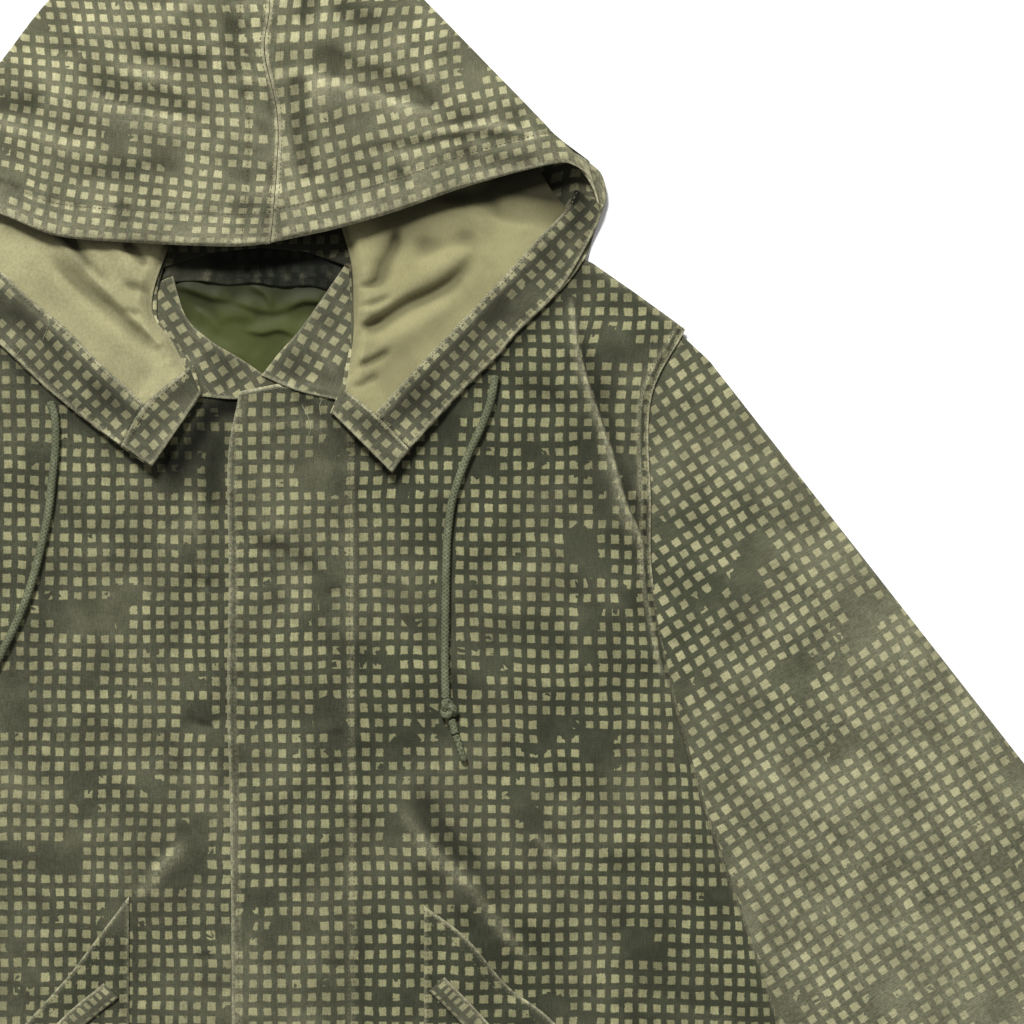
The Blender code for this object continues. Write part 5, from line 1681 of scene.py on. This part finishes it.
def knot_path(centre, heading, floor):
    """An overhand knot: a small closed loop of cord pulled tight."""
    t = np.linspace(0, 2 * math.pi, 140)
    aside = np.array([heading[1], -heading[0]])
    x, y = np.sin(t) + 2 * np.sin(2 * t), np.cos(t) - 2 * np.cos(2 * t)
    flat = centre + KNOT_LOOP[0] * x[:, None] * aside + KNOT_LOOP[1] * y[:, None] * heading
    return np.column_stack([flat, floor + KNOT[2] - KNOT_LOOP[2] * np.sin(3 * t)])


def drawcord(side):
    radius = CORD / 2
    route = turned(dense(CORD_ROUTE[side], 240), side)
    path = drape(evenly(route, 0.5), radius, COVER)
    main = tube(f"cord_{side}_braid", path, radius)
    heading = unit(turned(CORD_TAIL[side][0], side) - route[-1])
    centre = route[-1] + heading * (KNOT[1] + GAP)
    floor = ground(centre[None], COVER)[0]
    knot = tube(f"cord_knot_{side}_braid", knot_path(centre, heading, floor), KNOT_CORD)
    tail = turned(dense(CORD_TAIL[side], 20), side)
    tail = tail + (centre + heading * (KNOT[1] + GAP) - tail[0])
    tail_path = drape(evenly(tail, 0.5), radius, COVER)
    tail_path[:, 2] = tail_path[:, 2].max()
    end = tube(f"cord_end_{side}_braid", tail_path, radius * END_SIZE)
    steps = np.linspace(0, TIP_LENGTH, 40)
    tip_line = tail[-1] + unit(turned(TIP_HEADING[side], side)) * (GAP + steps[:, None])
    tip_path = np.column_stack([tip_line, np.full(len(steps), tail_path[0, 2])])
    thick, narrows, ripple = TIP_SIZE
    size = TIP_RADIUS * (thick - narrows * steps / TIP_LENGTH + ripple * np.sin(steps * TIP_RIPPLE))
    tip = tube(f"cord_tip_{side}_sealed", tip_path, size, 0.02, 0.6)
    for piece, node in ((main, "cord"), (knot, "cord_knot"), (end, "cord_end"), (tip, "cord_tip")):
        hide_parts(f"{node}_{side}")
    path_m = [tuple(to_world(*point)) for point in path]


for side in SIDES:
    drawcord(side)

# %% [markdown]
# ## Stitches
#
# Sewing shows as small raised dashes. There are thousands, so Geometry Nodes place them: a line
# along each seam is cut into even steps, a small oval is set on every step, turned along the line
# and scattered a little, and the whole is made real so that it can be exported.

# %% Stitch tree
SCATTER = np.array([0.25, 0.25, 0.05]) * MM  # how far a stitch may lie from its line


def stitch_tree():
    sizes = {"Pitch": "Float", "Length": "Float", "Width": "Float", "Wander": "Float"}
    inputs = {"Geometry": "Geometry", **sizes, "Material": "Material"}
    tree, given = new_group("stitch line", inputs, "Geometry", "Geometry")

    def chance(least, most, seed):
        limits = {"Min": least, "Max": most, "Seed": seed}
        return tree.add("FunctionNodeRandomValue", limits, "Value", data_type="FLOAT_VECTOR")

    curve = tree.add("GeometryNodeMeshToCurve", {"Mesh": given["Geometry"]})
    cut = {"Curve": curve, "Length": given["Pitch"]}
    steps = tree.add("GeometryNodeResampleCurve", cut, mode="LENGTH")
    bead = tree.add("GeometryNodeMeshUVSphere", {"Segments": 6, "Rings": 4, "Radius": 0.5}, "Mesh")
    tangent = tree.add("GeometryNodeInputTangent")
    way = tree.add("FunctionNodeAlignRotationToVector", {"Vector": tangent}, axis="X")
    most = tree.add("ShaderNodeCombineXYZ", {axis: given["Wander"] for axis in "XYZ"})
    lean = tree.add("FunctionNodeEulerToRotation", {"Euler": chance(most * (-1, -1, -1), most, 2)})
    way = tree.add("FunctionNodeRotateRotation", {"Rotation": way, "Rotate By": lean})
    thick = {"X": given["Length"], "Y": given["Width"], "Z": given["Width"]}
    size = tree.add("ShaderNodeCombineXYZ", thick) * chance((0.75, 0.8, 0.8), (1.1, 1.15, 1.1), 4)
    placing = {"Points": steps, "Instance": bead, "Rotation": way, "Scale": size}
    placed = tree.add("GeometryNodeInstanceOnPoints", placing)
    shift = {"Instances": placed, "Translation": chance(tuple(-SCATTER), tuple(SCATTER), 9)}
    real = tree.add("GeometryNodeRealizeInstances", {0: tree.add("GeometryNodeTranslateInstances", shift)})
    smooth = tree.add("GeometryNodeSetShadeSmooth", {"Geometry": real})
    painted = {"Geometry": smooth, "Material": given["Material"]}
    return tree.give(tree.add("GeometryNodeSetMaterial", painted))


STITCHES = stitch_tree()
THREAD = {"Pitch": 3.0, "Length": 2.1, "Width": 0.6, "Wander": 0.04, "Material": "thread"}
STITCH_RISE = 0.1


def sew(name, lines, stitch=THREAD, rise=STITCH_RISE):
    """Stitches along several lines of points in one piece."""
    points, edges = [], []
    for line in lines:
        first = len(points)
        points += [to_world(x, y, z + rise) for x, y, z in line]
        edges += [(first + i, first + i + 1) for i in range(len(line) - 1)]
    mesh = bpy.data.meshes.new(name + "_line")
    mesh.from_pydata(points, edges, [])
    guide = add_object(name + "_line", mesh)
    modifier = guide.modifiers.new("Stitches", "NODES")
    modifier.node_group = STITCHES
    sockets = {s.name: s.identifier for s in STITCHES.interface.items_tree if s.in_out == "INPUT"}
    for label in ("Pitch", "Length", "Width"):
        modifier[sockets[label]] = stitch[label] * MM
    modifier[sockets["Wander"]] = stitch["Wander"]
    modifier[sockets["Material"]] = FINISH[stitch["Material"]]
    evaluated = guide.evaluated_get(bpy.context.evaluated_depsgraph_get())
    piece = add_object(name, bpy.data.meshes.new_from_object(evaluated))
    bpy.data.objects.remove(guide, do_unlink=True)
    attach(piece, "root")
    print(f"{name}: {len(piece.data.polygons)} faces")


def on_cloth(side, line, *parts):
    """A plan line put on the upper side of the parts named, on this side of the coat."""
    line = turned(evenly(np.asarray(line, float), 2.0), side)
    height = ground(line, [f"{part}_{side}" for part in parts] if parts != ("back",) else parts)
    return np.column_stack([line, height - GAP])[height > 0]


def offset(line, apart):
    """A line moved to its left by a distance."""
    run = unit(np.gradient(line, axis=0))
    return line + apart * np.column_stack([-run[:, 1], run[:, 0]])


# %% Sew the seams
def body_seams(side):
    outer = falling_line(SIDE)(np.linspace(0, 0.22, 120))
    mouth, welt = smooth_line(POCKET_TOP[side])(even(60)), smooth_line(WELT_LINE[side])(even(40))
    x, y = POCKET_TOP[side][0]
    return [
        *[on_cloth(side, offset(outer, -apart), "front") for apart in (1.8, 6.5)],
        *[on_cloth(side, offset(mouth, -apart), "pocket") for apart in (2.5, 7.0)],
        on_cloth(side, [(x + 2.5, y - 4), (x + 2.5, POCKET_BOTTOM)], "pocket"),
        on_cloth(side, offset(welt, -2.0), "pocket_welt", "pocket"),
    ]


def hem_seams(side):
    """Along the front's hem, the cuff and the tail's hem."""
    hem = cornered_line([(x, FRONT_HEM) for _, _, x in FRONT_COLUMNS[side]])(even(90))
    cuff = sleeve_flat(np.full(60, 1 - CUFF_HEM / SLEEVE), np.linspace(0.04, 0.96, 60))
    x = np.linspace(14, 326, 90)
    return [
        on_cloth(side, hem[2:-4] + (0, HEM), "front"),
        on_cloth(side, cuff, "sleeve"),
        on_cloth(side, np.column_stack([x, tail_hem(x) + BACK_HEM]), "back"),
    ]


def fly_seams():
    edge = falling_line(FLY_EDGE["left"])(even(200))
    fly = dense(fly_seam(-6, FRONT_HEM + 4), 100)
    lines = [edge + (4.5, 0), fly + (-1.6, 0), fly + (1.6, 0)]
    return [on_cloth("left", line, "front") for line in lines]


def hood_seams(side):
    centre = smooth_line(CENTRE_SEAM[side])(np.linspace(0, 0.92, 90))
    insets = (2.2,) if side == "left" else (2.2, 18.0)
    inner, outer = smooth_line(FACING_INNER[side])(even(60)), smooth_line(FACING_OUTER[side])(even(60))
    top, bottom = smooth_line(BAND_TOP[side])(even(30)), smooth_line(BAND_BOTTOM[side])(even(30))
    return [
        on_cloth(side, smooth_line(CROWN_FRONT[side])(even(90)) + TUNNEL, "crown"),
        *[on_cloth(side, centre + (inset, 0), "crown") for inset in insets],
        *[on_cloth(side, between(inner, outer, share), "hood_facing") for share in (0.07, 0.9)],
        on_cloth(side, between(top, bottom, 0.12), "hood_band"),
        on_cloth(side, smooth_line(NECK_SEAM[side])(even(40)) + (-2.0, 0), "neck_facing"),
    ]


body_lines = [line for side in SIDES for line in body_seams(side)]
hem_lines = [line for side in SIDES for line in hem_seams(side)]
sew("stitches_body", body_lines + fly_seams() + hem_lines)
sew("stitches_hood", [line for side in SIDES for line in hood_seams(side)])

# %% [markdown]
# ## Frayed edges
#
# Where an edge has worn through, short fibres stand out of it. They are placed by the same tree
# as the stitches, thinner, closer and leaning every way. A few long threads hang loose.

# %% Fray the edges
FRAY = {"Pitch": 0.45, "Length": 2.6, "Width": 0.16, "Wander": 0.9, "Material": "fray"}
LOOSE = {"Pitch": 0.4, "Length": 0.8, "Width": 0.4, "Wander": 0.04, "Material": "fray"}
LOOSE_RISE = 0.3
LOOSE_THREADS = [
    ("left", [(26, -10), (30, -18), (32, -24), (30, -30)], "front"),
    ("left", [(40, -4), (37, -10), (38, -16)], "front"),
    ("right", [(128, 54), (132, 44), (138, 32)], "hood_facing"),
    ("right", [(36, 2), (30, -4), (24, -2), (22, -8)], "neck_facing"),
    ("right", [(150, 28), (156, 20), (158, 12)], "hood_facing"),
]


def frayed(side):
    lines = [
        on_cloth(side, dense(NECK_BOTTOM[side]) + (0, 0.6), "neck_facing"),
        on_cloth(side, dense(NECK_SEAM[side]) + (-0.5, 0), "neck_facing"),
        on_cloth(side, dense(FACING_INNER[side])[:44] + (0.6, 0), "hood_facing"),
        on_cloth(side, dense(BAND_TOP[side]) + (0.3, -0.5), "hood_band"),
    ]
    if side == "left":
        top = cornered_line([(x, y) for x, y, _ in FRONT_COLUMNS["left"][:4]])(even(60))
        fly = falling_line(FLY_EDGE["left"])(even(200))
        lines += [on_cloth(side, top - (0, 0.6), "front"), on_cloth(side, fly + (0.5, 0), "front")]
    return lines


def long_enough(lines):
    return [line for line in lines if len(line) > 2]


sew("frays", long_enough([*frayed("left"), *frayed("right")]), FRAY)
loose = [on_cloth(side, dense(line), part) for side, line, part in LOOSE_THREADS]
sew("loose_threads", long_enough(loose), LOOSE, LOOSE_RISE)
